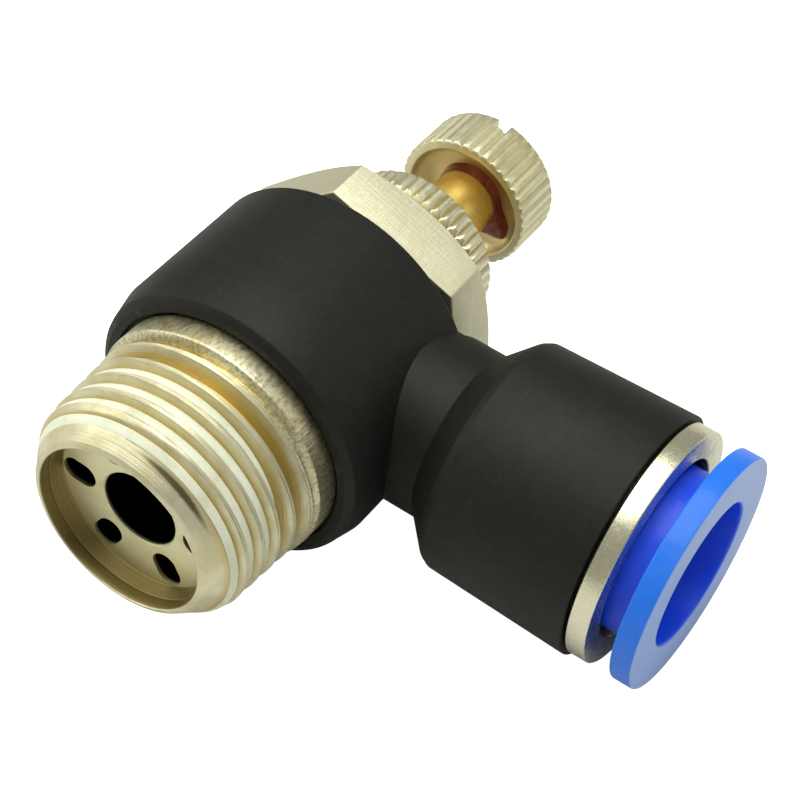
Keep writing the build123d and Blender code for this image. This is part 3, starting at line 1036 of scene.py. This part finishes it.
    def sealant_point(self, length_share: float, width_share: float) -> Vector:
        """Place one vertex of the sealant's ribbon: its outer skin first, then back along the groove."""
        start, end = self.sealant_turns
        turn = start + (end - start) * length_share
        fill = smooth((turn - start) / 0.25) * smooth((end - turn) / 0.3)
        spread = max(0.0, min(1.0, (turn - start) / 0.25, (end - turn) / 0.3))
        middle = self.pitch / 2
        centre = self.crest_height + self.pitch * turn + middle
        width_share = width_share % 1.0
        if width_share <= 0.7:
            across = width_share / 0.7 * 2 - 1
            wave = noise.noise(Vector((math.cos(TURN * turn) * 3, turn * 2.4, math.sin(TURN * turn) * 3)))
            edge_depth = 0.44 + 0.05 * wave + 0.26 * across - 0.06 * smooth((1.0 - turn) / 1.5)
            depth = edge_depth - (0.20 + 0.05 * wave) * (1 - across * across) ** 0.6
            half = middle - self.flat_width / 2 - edge_depth * FLANK
            depth = depth * fill + (self.thread_depth + 0.1) * (1 - fill)
            near = max(0.02, self.chamfer_share * centre - 0.167)
            half = (min(half, near) if across < 0 else half) * spread
        else:
            across = 1 - (width_share - 0.7) / 0.3 * 2
            half = (middle - self.flat_width / 2 - self.thread_depth * FLANK + 0.02) * spread
            depth = self.thread_depth + 0.1
        along = centre + across * half
        cover = 0.14 * smooth((along - 0.9) / 0.8) - 0.10
        radius = min(self.crest(along) - depth, self.chamfer(along) + cover * fill - 0.1 * (1 - fill))
        return Axle.STEM.point(radius, along, -TURN * turn)

    def build_sealant(self) -> Piece:
        """Model the sealant ribbon that lies in the first turns."""
        start, end = self.sealant_turns
        sealant = wrapped("thread_sealant_ribbon", round((end - start) * 144), 20, self.sealant_point)
        clean(sealant)
        return sealant

    def make(self) -> None:
        """Build and dress the stem and its sealant."""
        plated = PlatedBrass(
            name="plated_thread", slot="nickel_plated_brass", roughness=0.44,
            skin_radius=self.gauge_radius - self.gauge_height * self.taper, skin_taper=self.taper,
            shade_depth_from=0.12, shade_depth_to=0.7, shade_from_height=1.1, tooling=Tooling.ROLLED, mark_depth=0.05,
            plate=paint(228, 224, 196), stain=paint(182, 168, 118), stain_cover=0.5,
            wall_radius=self.mouth_radius + 0.07, crescent_shade_height=1.15, crescent_shade_angle=math.radians(58))
        hand_over(self.build_stem(), "stem", plated.slot, plated.build(self.groups), ("threaded_stem",))
        paste = Paste(name="thread_sealant_paste", slot="sealant", roughness=0.5)
        hand_over(self.build_sealant(), "stem", paste.slot, paste.build(self.groups), ("thread_sealant",))


@dataclass
class ValveSeat:
    """The pressed-in seat: a disc with six check holes and the tube that carries the orifice."""

    groups: Groups
    orifice_radius: float = 3.41
    tube_radius: float = 4.7
    thickness: float = 3.4
    hole_ring: float = 5.75
    hole_length: float = 3.1
    hole_width: float = 2.3
    hole_count: int = 6
    hole_margin: float = 0.3             # how far a hole's cutter stands out of the disc
    hole_turn: float = math.radians(-121)

    def __post_init__(self) -> None:
        """Read the disc and the tube from the frame."""
        self.floor = low("valve_seat", "y")
        self.top = high("valve_seat", "y")
        self.disc_radius = high("valve_seat", "x") - 0.09

    def hole_tool(self, direction: float) -> Piece:
        """Return one check hole's cutter: a slot that is long across the disc."""
        half = (self.hole_length - self.hole_width) / 2
        deselect()
        bpy.ops.mesh.primitive_circle_add(vertices=48, radius=self.hole_width / 2 * MM, fill_type="NGON")
        tool = bpy.context.object
        for vertex in tool.data.vertices:
            vertex.co.x += math.copysign(half * MM, vertex.co.x)
        edit_all(tool)
        bpy.ops.mesh.extrude_region_move(
            TRANSFORM_OT_translate={"value": (0, 0, (self.thickness + 2 * self.hole_margin) * MM)})
        clean(tool)
        turn = Matrix.Rotation(-direction, 4, "Y")
        tip = Matrix(((1, 0, 0, 0), (0, 0, 1, 0), (0, -1, 0, 0), (0, 0, 0, 1)))
        foot = Axle.STEM.point(self.hole_ring, self.floor - self.hole_margin, direction)
        shift = Matrix.Translation(foot)
        tool.data.transform(shift @ turn @ tip)
        return tool

    def make(self) -> None:
        """Build and dress the seat."""
        disc_top = self.floor + self.thickness
        seat = turned("valve_seat_disc", [
            (self.orifice_radius + 0.12, self.floor), (self.disc_radius, self.floor),
            (self.disc_radius, disc_top), (self.tube_radius, disc_top),
            (self.tube_radius, self.top - 0.15), (self.tube_radius - 0.15, self.top),
            (self.orifice_radius + 0.5, self.top), (self.orifice_radius, self.top - 0.7),
            (self.orifice_radius, self.floor + 0.12),
        ], Axle.STEM, steps=144)
        for hole in range(self.hole_count):
            combine(seat, self.hole_tool(self.hole_turn + TURN / self.hole_count * hole), "DIFFERENCE")
        clean(seat)
        metal = PlatedBrass(
            name="plated_seat", slot="nickel_plated_brass", roughness=0.55, tooling=Tooling.PRESSED,
            plate=paint(236, 232, 196), stain=paint(214, 206, 160), mark_depth=0.01,
            dark_above=self.floor + 0.12)
        hand_over(seat, "stem", metal.slot, metal.build(self.groups), ("valve_seat",))


@dataclass
class HexHead:
    """The hexagon head with the boss for the lock nut and the spigot in the stem."""

    groups: Groups
    flats: float = 21.7
    corner_turn: float = math.radians(40.7)
    chamfer_inset: float = 0.55
    chamfer_angle: float = math.radians(30)
    boss_radius: float = 6.55
    spigot_radius: float = 7.45
    seal_height: float = 27.6
    seal_half: float = 0.6
    seal_depth: float = 0.85
    gland_radius: float = 4.15
    gland_top: float = 33.0
    needle_bore: float = 2.95
    foot: float = 29.4
    top: float = 34.75

    def __post_init__(self) -> None:
        """Read the boss and the spigot from the frame."""
        self.boss_top = high("hex_bonnet", "y")
        self.spigot_foot = low("hex_bonnet", "y")

    def make(self) -> None:
        """Build and dress the hexagon head."""
        corner = self.flats / 2 / math.cos(TURN / 12)
        deselect()
        bpy.ops.mesh.primitive_circle_add(vertices=6, radius=corner * MM, fill_type="NGON")
        head = bpy.context.object
        head.name = head.data.name = "hexagon_head"
        for index, vertex in enumerate(head.data.vertices):
            vertex.co = Axle.STEM.point(corner, self.foot, self.corner_turn + TURN / 6 * index)
        edit_all(head)
        bpy.ops.mesh.extrude_region_move(
            TRANSFORM_OT_translate={"value": (0, (self.top - self.foot) * MM, 0)})
        clean(head)
        soften(head, 0.16, 45, 3)
        inner = self.flats / 2 - self.chamfer_inset
        wide = corner + 0.6
        fall = (wide - inner) * math.tan(self.chamfer_angle)
        combine(head, turned("chamfer_tool", [
            (0, self.foot - 1), (wide, self.foot - 1), (wide, self.top - fall), (inner, self.top),
            (0, self.top),
        ], Axle.STEM), "INTERSECT")
        spigot, boss, foot = self.spigot_radius, self.boss_radius, self.spigot_foot
        floor = spigot - self.seal_depth
        seal_low, seal_high = self.seal_height - self.seal_half, self.seal_height + self.seal_half
        combine(head, turned("boss_tool", [
            (0, foot), (spigot - 0.2, foot), (spigot, foot + 0.2), (spigot, seal_low), (floor, seal_low),
            (floor, seal_high), (spigot, seal_high), (spigot, self.foot + 0.5), (boss, self.foot + 0.9),
            (boss, self.boss_top - 0.25), (boss - 0.25, self.boss_top), (0, self.boss_top),
        ], Axle.STEM), "UNION")
        combine(head, turned("bore_tool", [
            (0, foot - 1), (self.gland_radius, foot - 1), (self.gland_radius, self.gland_top),
            (self.needle_bore, self.gland_top + 1), (self.needle_bore, self.boss_top + 1),
            (0, self.boss_top + 1),
        ], Axle.STEM, steps=96), "DIFFERENCE")
        clean(head)
        metal = PlatedBrass(
            name="plated_hexagon", slot="nickel_plated_brass", roughness=0.52, tooling=Tooling.BRUSHED,
            plate=paint(214, 211, 186), mark_depth=0.05, stain_cover=0.35)
        hand_over(head, "stem", metal.slot, metal.build(self.groups), ("hex_bonnet",))


def fluted(piece: Piece, flutes: int, skin: float, depth: float, width: float) -> None:
    """Cut straight flutes into a turned piece's outer skin.

    Args:
        piece: the turned piece, with ten facets to each flute.
        flutes: how many flutes there are.
        skin: the piece's outer radius, in millimetres.
        depth: how deep the flutes are.
        width: a flute's share of its pitch.
    """
    def cut(radius: float, along: float, angle: float) -> tuple[float, float]:
        """Lower the radius to the flute's floor where the piece stands above it."""
        place = abs((angle / TURN * flutes + 0.5) % 1 - 0.5)
        groove = depth * max(0.0, 1 - place / (width / 2)) ** 0.9
        crown = 0.03 * (1 - smooth(place * 2))
        return min(radius, skin - groove - crown), along

    reshape(piece, Axle.STEM, cut)


@dataclass
class LockNut:
    """The thin knurled nut that locks the needle."""

    groups: Groups
    bore: float = 2.95
    radius: float = 7.4
    flutes: int = 44
    flute_depth: float = 0.34
    flute_width: float = 0.62            # share of the pitch

    def __post_init__(self) -> None:
        """Read the nut's place from the frame."""
        self.foot, self.top = low("lock_nut", "y"), high("lock_nut", "y")

    def make(self) -> None:
        """Build and dress the lock nut."""
        nut = turned("lock_nut_knurled", [
            (self.bore + 0.25, self.foot), (self.radius - 0.62, self.foot),
            (self.radius - 0.42, self.foot + 0.16), (self.radius - 0.2, self.foot + 0.40),
            (self.radius, self.foot + 0.62), (self.radius, self.foot + 1.2),
            (self.radius, self.top - 0.34), (self.radius - 0.10, self.top - 0.20),
            (self.radius - 0.2, self.top - 0.09), (self.radius - 0.34, self.top),
            (self.bore + 0.25, self.top), (self.bore, self.top - 0.25), (self.bore, self.foot + 0.25),
        ], Axle.STEM, steps=self.flutes * 10)
        fluted(nut, self.flutes, self.radius, self.flute_depth, self.flute_width)
        metal = PlatedBrass(
            name="plated_lock_nut", slot="nickel_plated_brass", roughness=0.36, tooling=Tooling.HATCHED,
            skin_radius=self.radius, shade_depth_from=0.12, shade_depth_to=0.45, plate=paint(232, 229, 204),
            deep=paint(206, 192, 146), mark_depth=0.006)
        hand_over(nut, "lock", metal.slot, metal.build(self.groups), ("lock_nut",))


@dataclass
class Adjuster:
    """The needle with its knurled, slotted knob and the bead of locking compound between them."""

    groups: Groups
    flutes: int = 40
    flute_depth: float = 0.24
    flute_width: float = 0.6             # share of the pitch
    knob_radius: float = 6.3
    recess_radius: float = 5.4
    recess_depth: float = 1.5
    slot_width: float = 1.3
    slot_depth: float = 1.2
    slot_turn: float = math.radians(86)
    shank_radius: float = 2.9
    blob_turn: float = math.radians(-34)
    blob_spread: float = math.radians(22)
    blob_swell: float = 9.0
    blob_sag: float = 0.75
    bead_wave: float = 0.25

    def __post_init__(self) -> None:
        """Read the knob and the needle from the frame."""
        self.face, self.top = low("knob", "y"), high("knob", "y")
        self.tip, self.shank_end = low("needle", "y"), high("needle", "y")

    def build_knob(self) -> Piece:
        """Model the knob: turned, fluted, and slotted across its end."""
        floor = self.face + self.recess_depth
        knob = turned("adjusting_knob", [
            (self.shank_radius + 0.02, floor), (3.7, floor), (4.4, floor - 0.12), (4.9, floor - 0.42),
            (5.2, floor - 0.8), (self.recess_radius - 0.05, self.face + 0.35),
            (self.recess_radius, self.face + 0.08),
            (self.recess_radius + 0.08, self.face), (self.knob_radius - 0.30, self.face),
            (self.knob_radius - 0.14, self.face + 0.06), (self.knob_radius - 0.04, self.face + 0.16),
            (self.knob_radius, self.face + 0.3), (self.knob_radius, self.face + 1.2),
            (self.knob_radius, self.face + 2.4), (self.knob_radius, self.face + 3.6),
            (self.knob_radius, self.top - 0.5), (self.knob_radius - 0.08, self.top - 0.28),
            (self.knob_radius - 0.2, self.top - 0.12), (self.knob_radius - 0.4, self.top), (0, self.top),
            (0, self.shank_end + 0.02), (self.shank_radius + 0.02, self.shank_end + 0.02),
        ], Axle.STEM, steps=self.flutes * 10)
        fluted(knob, self.flutes, self.knob_radius, self.flute_depth, self.flute_width)
        deselect()
        middle = Vector((0, (self.top - self.slot_depth / 2 + 0.5) * MM, 0))
        bpy.ops.mesh.primitive_cube_add(size=1.0)
        tool = bpy.context.object
        size = Vector((2 * self.knob_radius + 2, self.slot_depth + 1, self.slot_width)) * MM
        turn = Matrix.Rotation(-self.slot_turn, 4, "Y")
        tool.data.transform(Matrix.Translation(middle) @ turn @ Matrix.Diagonal((*size, 1)))
        combine(knob, tool, "DIFFERENCE")
        clean(knob)
        return knob

    def build_needle(self) -> Piece:
        """Model the needle: tapered tip, piston with its seal groove, and the threaded shank."""
        piston_foot, piston_top, seal, seal_half = 28.2, 32.1, 30.0, 0.65
        orifice, gland, shoulder = 3.35, 4.1, 17.8
        return turned("needle_brass", [
            (0, self.tip), (1.2, self.tip), (orifice, shoulder - 0.4), (orifice, shoulder),
            (4.0, shoulder), (4.0, shoulder + 1.0), (3.4, shoulder + 1.6), (3.4, piston_foot - 0.6),
            (gland, piston_foot), (gland, seal - seal_half), (gland - 1.0, seal - seal_half),
            (gland - 1.0, seal + seal_half), (gland, seal + seal_half), (gland, piston_top),
            (self.shank_radius, piston_top + 1.0), (self.shank_radius, self.shank_end),
            (0, self.shank_end),
        ], Axle.STEM, steps=96)

    def build_bead(self) -> Piece:
        """Model the bead of locking compound, with the drop that ran to one side."""
        inner = self.shank_radius + 0.02
        floor = self.face + self.recess_depth - 0.02
        skin = ((0.0, 0.58), (0.05, 0.60), (0.09, 0.70), (0.11, 0.86), (0.13, 1.02), (0.16, 1.18),
                (0.20, 1.34))
        bead = turned("locking_compound_bead", [
            *((inner + out, self.face + rise) for out, rise in skin), (inner + 0.26, floor), (inner, floor),
        ], Axle.STEM, steps=144)

        def run(radius: float, along: float, angle: float) -> tuple[float, float]:
            """Swell the bead into a drop round one direction and make it uneven elsewhere."""
            away = (angle - self.blob_turn + math.pi) % TURN - math.pi
            drop = math.exp(-(away / self.blob_spread) ** 2)
            wave = noise.noise(Vector((math.cos(angle) * 1.7, along * 0.6, math.sin(angle) * 1.7)))
            share = (radius - inner) * (1 + self.bead_wave * wave) * (1 + self.blob_swell * drop)
            sag = self.blob_sag * drop * smooth((radius - inner) / 0.3) * smooth((floor - along) / 0.5)
            return min(inner + share, self.recess_radius - 0.25), along - sag

        reshape(bead, Axle.STEM, run)
        return bead

    def make(self) -> None:
        """Build and dress the knob, the needle and the bead."""
        plated = PlatedBrass(
            name="plated_knob", slot="nickel_plated_brass", roughness=0.42, tooling=Tooling.HATCHED,
            skin_radius=self.knob_radius, shade_depth_from=0.06, shade_depth_to=2.6, plate=paint(232, 228, 196),
            deep=paint(222, 200, 136), mark_depth=0.006)
        hand_over(self.build_knob(), "adjuster", plated.slot, plated.build(self.groups), ("knob",))
        brass = BareBrass(name="bare_brass_turned", slot="bare_brass", roughness=0.38)
        hand_over(self.build_needle(), "adjuster", brass.slot, brass.build(self.groups), ("needle",))
        compound = Paste(
            name="locking_compound_set", slot="locking_compound", roughness=0.28, body=paint(104, 26, 20),
            thin=paint(176, 78, 54), thin_cover=0.42, lump_depth=0.06, scatter=0.0, coat=0.6)
        hand_over(self.build_bead(), "adjuster", compound.slot, compound.build(self.groups),
                  ("thread_lock_bead",))


@dataclass
class SwivelBody:
    """The moulded body: a banjo round the stem and the branch with the tube socket."""

    groups: Groups
    radius: float = 12.8
    foot_radius: float = 11.65
    bore: float = 9.35
    collar_radius: float = 10.59
    chamber: tuple[float, float, float] = (10.6, 18.2, 26.4)
    neck_radius: float = 7.34
    neck_end: float = 15.3
    collet_start: float = 18.3
    collet_radius: float = 10.12
    mouth_radius: float = 10.5
    tube_stop: float = 14.0
    tube_radius: float = 6.05
    passage_radius: float = 3.1
    packing_start: float = 20.5
    packing_bore: float = 8.2
    guide_start: float = 25.8
    guide_bore: float = 8.92
    height: float = 15.6

    def __post_init__(self) -> None:
        """Read the body's ends from the frame."""
        self.foot = low("banjo_body", "y")
        self.mouth = high("banjo_body", "x")
        self.top = self.foot + self.height

    def make(self) -> None:
        """Build and dress the body."""
        body = turned("swivel_body_moulded", [
            (0, self.foot), (self.foot_radius, self.foot, 0.12),
            (self.foot_radius + 0.63, self.foot + 0.45, 0.3), (self.radius, self.foot + 2.7),
            (self.radius, self.foot + 6.0), (self.radius, self.top - 0.3, 0.25),
            (self.radius - 0.3, self.top, 0.12), (0, self.top),
        ], Axle.STEM, steps=256)
        branch = turned("branch_tool", [
            (0, 0), (self.neck_radius, 0), (self.neck_radius, self.neck_end, 0.25),
            (self.collet_radius - 0.30, self.collet_start - 0.6, 0.5),
            (self.collet_radius, self.collet_start, 0.4), (self.mouth_radius, self.mouth - 0.02, 0.06),
            (0, self.mouth),
        ], Axle.BRANCH, steps=256, facets=4)
        combine(body, branch, "UNION")
        wide, start, end = self.chamber
        clear, recess = self.collar_radius + 0.3, self.foot + 0.55
        relief, room = self.radius + 0.3, BRANCH_HEIGHT + self.neck_radius + 1
        combine(body, turned("stem_bore_tool", [
            (0, self.foot - 1), (clear + 0.08, self.foot - 1), (clear + 0.08, self.foot),
            (clear, self.foot + 0.1), (clear, recess), (self.bore, recess), (self.bore, start),
            (wide, start + 1), (wide, end - 1), (self.bore, end), (self.bore, self.top),
            (relief, self.top), (relief, room), (0, room),
        ], Axle.STEM, steps=256), "DIFFERENCE")
        combine(body, turned("tube_bore_tool", [
            (0, self.bore - 0.5), (self.passage_radius, self.bore - 0.5),
            (self.passage_radius, self.tube_stop), (self.tube_radius, self.tube_stop),
            (self.tube_radius, self.packing_start), (self.packing_bore, self.packing_start),
            (self.packing_bore, self.guide_start), (self.guide_bore, self.guide_start),
            (self.guide_bore, self.mouth + 1), (0, self.mouth + 1),
        ], Axle.BRANCH, steps=192), "DIFFERENCE")
        clean(body)
        plastic = MouldedPlastic(
            name="body_plastic_black", slot="body_plastic", roughness=0.58, specular=0.32)
        hand_over(body, "swivel_body", plastic.slot, plastic.build(self.groups), ("banjo_body",))


@dataclass
class TubeSocket:
    """The metal ring in the branch's mouth, and the packing, spacer and claw behind it."""

    groups: Groups
    radius: float = 10.12
    bore: float = 7.85
    guide_radius: float = 8.9
    flange_start: float = 31.1

    def __post_init__(self) -> None:
        """Read the ring's ends from the frame."""
        self.back, self.face = low("mouth_ring", "x"), high("mouth_ring", "x")

    def make(self) -> None:
        """Build the mouth ring and dress what lies behind it."""
        ring = turned("mouth_ring_plated", [
            (self.bore + 0.35, self.back), (self.guide_radius, self.back, 0.1),
            (self.guide_radius, self.flange_start - 0.05), (self.guide_radius + 0.05, self.flange_start),
            (self.radius - 0.1, self.flange_start, 0.05), (self.radius, self.flange_start + 0.12, 0.06),
            (self.radius, self.face, 0.14), (self.bore, self.face, 0.10), (self.bore, self.back + 0.5),
        ], Axle.BRANCH, steps=256)
        metal = PlatedBrass(
            name="plated_mouth_ring", slot="nickel_plated_brass", roughness=0.30, tooling=Tooling.PRESSED,
            axle=Axle.BRANCH, skin_radius=self.radius, shade_depth_from=2.1, shade_depth_to=2.4,
            plate=paint(226, 223, 198), mark_depth=0.010, stain_cover=0.4)
        hand_over(ring, "swivel_body", metal.slot, metal.build(self.groups), ("mouth_ring",))
        rubber = MouldedPlastic(
            name="seal_rubber_black", slot="seal_rubber", roughness=0.6, base=paint(20, 20, 20))
        self.dress("tube_packing", rubber)
        self.dress("packing_spacer", MouldedPlastic(
            name="spacer_plastic_white", slot="spacer_plastic", roughness=0.45, base=paint(205, 205, 198),
            scuff=paint(180, 180, 172), edge=paint(225, 225, 218)))
        self.dress("lock_claw", PlatedBrass(
            name="claw_spring_steel", slot="claw_steel", roughness=0.3, axle=Axle.BRANCH,
            plate=paint(190, 192, 194), stain=paint(160, 160, 160), deep=paint(120, 120, 120),
            tooling=Tooling.PRESSED))

    def dress(self, node: str, finish: Finish) -> None:
        """Dress one kept CAD node with a finish."""
        dress_node(node, finish.slot, finish.build(self.groups))


@dataclass
class ReleaseRing:
    """The push ring that frees the tube."""

    groups: Groups
    neck_radius: float = 7.1
    flange_back: float = 35.0
    flange_radius: float = 10.07
    catch_radius: float = 7.55           # the bead that keeps the ring in the branch
    bore: float = 6.15

    def __post_init__(self) -> None:
        """Read the ring's ends from the frame."""
        self.back, self.face = low("release_ring", "x"), high("release_ring", "x")

    def make(self) -> None:
        """Build and dress the release ring."""
        ring = turned("release_ring_moulded", [
            (self.bore + 0.35, self.back), (7.0, self.back, 0.1),
            (self.catch_radius, self.back + 1.0, 0.15), (self.catch_radius, self.back + 2.2, 0.1),
            (self.neck_radius, self.back + 2.2, 0.1), (self.neck_radius, self.flange_back, 0.35),
            (self.flange_radius, self.flange_back, 0.18), (self.flange_radius, self.face, 0.20),
            (self.bore + 0.05, self.face, 0.28), (self.bore, self.back + 3.0),
            (self.bore, self.back + 0.4),
        ], Axle.BRANCH, steps=256, facets=5)
        plastic = TintedPlastic(
            name="release_plastic_blue", slot="release_plastic", roughness=0.42, specular=0.3,
            axle=Axle.BRANCH, face_height=self.face)
        hand_over(ring, "release", plastic.slot, plastic.build(self.groups), ("release_ring",))


@dataclass
class Seals:
    """The O-rings and the check packing, which stay as the CAD model has them."""

    groups: Groups
    nodes: tuple[str, ...] = (
        "check_packing", "lower_swivel_o_ring", "upper_swivel_o_ring", "bonnet_o_ring", "needle_o_ring")

    def make(self) -> None:
        """Dress every seal in rubber."""
        rubber = MouldedPlastic(
            name="o_ring_rubber", slot="seal_rubber", roughness=0.5, base=paint(18, 18, 18))
        surface = rubber.build(self.groups)
        for node in self.nodes:
            dress_node(node, rubber.slot, surface)


# ---- studio ---------------------------------------------------------------------------------------------


@dataclass
class Softbox:
    """One soft area light: its place in millimetres, its size in metres and its power in watts."""

    name: str
    place: tuple[float, float, float]
    size: float
    power: float


@dataclass
class Studio:
    """The pale floor, the soft lights and the camera."""

    eye: tuple[float, float, float] = (66.952, -82.379, 132.589)
    aim: tuple[float, float, float] = (8.069, 26.113, -2.060)
    roll: float = math.radians(8.193)
    lens: float = 101.32
    sensor: float = 36.0
    near_and_far: tuple[float, float] = (0.01, 20.0)     # metres
    floor_size: float = 6.0                              # metres
    rest_drop: float = 12.87             # floor below the stem's axis
    rest_tilt: float = math.radians(4.2)  # the valve leans on its body and its branch's mouth
    surround: float = 0.34
    floor_glow: float = 1.0
    light_tint: Colour = (1.0, 1.0, 0.91, 1.0)
    softboxes: tuple[Softbox, ...] = (
        Softbox("key_overhead", (-60, 40, 420), 0.46, 1.75),
        Softbox("fill_left", (-360, -120, 200), 0.26, 0.55),
        Softbox("fill_right", (300, 190, 200), 0.22, 0.15),
    )

    def floor_finish(self) -> Paint:
        """Return the floor's pale, faintly uneven paint."""
        surface = bpy.data.materials.new("pale_floor")
        surface.use_nodes = True
        wiring = Wiring(surface.node_tree)
        shader = surface.node_tree.nodes["Principled BSDF"]
        shader.inputs["Roughness"].default_value = 0.9
        shader.inputs["Specular IOR Level"].default_value = 0.1
        place = wiring.add("ShaderNodeTexCoord").outputs["Object"]
        shade = wiring.speckle(place, 8.0)
        pale = wiring.blend(shade, (0.70, 0.70, 0.70, 1), (0.74, 0.74, 0.74, 1))
        wiring.feed(pale, shader.inputs["Base Color"])
        wiring.feed((1.0, 1.0, 1.0, 1.0), shader.inputs["Emission Color"])
        seen = wiring.add("ShaderNodeLightPath").outputs["Is Camera Ray"]
        wiring.feed(wiring.sum("MULTIPLY", seen, self.floor_glow), shader.inputs["Emission Strength"])
        return surface

    def make_floor(self) -> None:
        """Lay the floor under the body and the branch's mouth."""
        deselect()
        upward = Vector((-math.sin(self.rest_tilt), 0, math.cos(self.rest_tilt)))
        bpy.ops.mesh.primitive_plane_add(size=self.floor_size, location=-upward * self.rest_drop * MM,
                                         rotation=(0, -self.rest_tilt, 0))
        floor = bpy.context.object
        floor.name = "studio_floor"
        floor.data.materials.append(self.floor_finish())

    def make_lights(self) -> None:
        """Hang the softboxes and set the even surround."""
        target = Vector(self.aim) * MM
        for box in self.softboxes:
            lamp = bpy.data.lights.new(box.name, "AREA")
            lamp.shape, lamp.size = "DISK", box.size
            lamp.energy = box.power
            lamp.color = self.light_tint[:3]
            holder = bpy.data.objects.new(box.name, lamp)
            bpy.context.scene.collection.objects.link(holder)
            holder.location = Vector(box.place) * MM
            holder.rotation_euler = (target - holder.location).to_track_quat("-Z", "Y").to_euler()
        world = bpy.data.worlds.new("soft_surround")
        world.use_nodes = True
        backdrop = world.node_tree.nodes["Background"]
        backdrop.inputs["Color"].default_value = self.light_tint
        backdrop.inputs["Strength"].default_value = self.surround
        bpy.context.scene.world = world

    def make_camera(self) -> None:
        """Set the camera at its eye point, aimed and rolled."""
        lens = bpy.data.cameras.new("studio_camera")
        lens.lens, lens.sensor_width = self.lens, self.sensor
        lens.clip_start, lens.clip_end = self.near_and_far
        camera = bpy.data.objects.new("studio_camera", lens)
        bpy.context.scene.collection.objects.link(camera)
        camera.location = Vector(self.eye) * MM
        line = (Vector(self.aim) - Vector(self.eye)) * MM
        look = line.to_track_quat("-Z", "Y").to_matrix() @ Matrix.Rotation(self.roll, 3, "Z")
        camera.rotation_euler = look.to_euler()
        bpy.context.scene.camera = camera

    def make(self) -> None:
        """Build the studio."""
        self.make_floor()
        self.make_lights()
        self.make_camera()
        bpy.context.scene.view_settings.view_transform = "Standard"
        log.info("studio: floor, %d softboxes and the camera", len(self.softboxes))


def main() -> None:
    """Build the studio, then every sub-assembly in the order it would be put together."""
    logging.basicConfig(level=logging.INFO, format="%(name)s %(message)s", stream=sys.stdout)
    Studio().make()
    groups = Groups()
    for part in (ThreadedStem, ValveSeat, HexHead, LockNut, Adjuster, SwivelBody, TubeSocket, ReleaseRing,
                 Seals):
        part(groups).make()


if __name__ == "__main__":
    main()
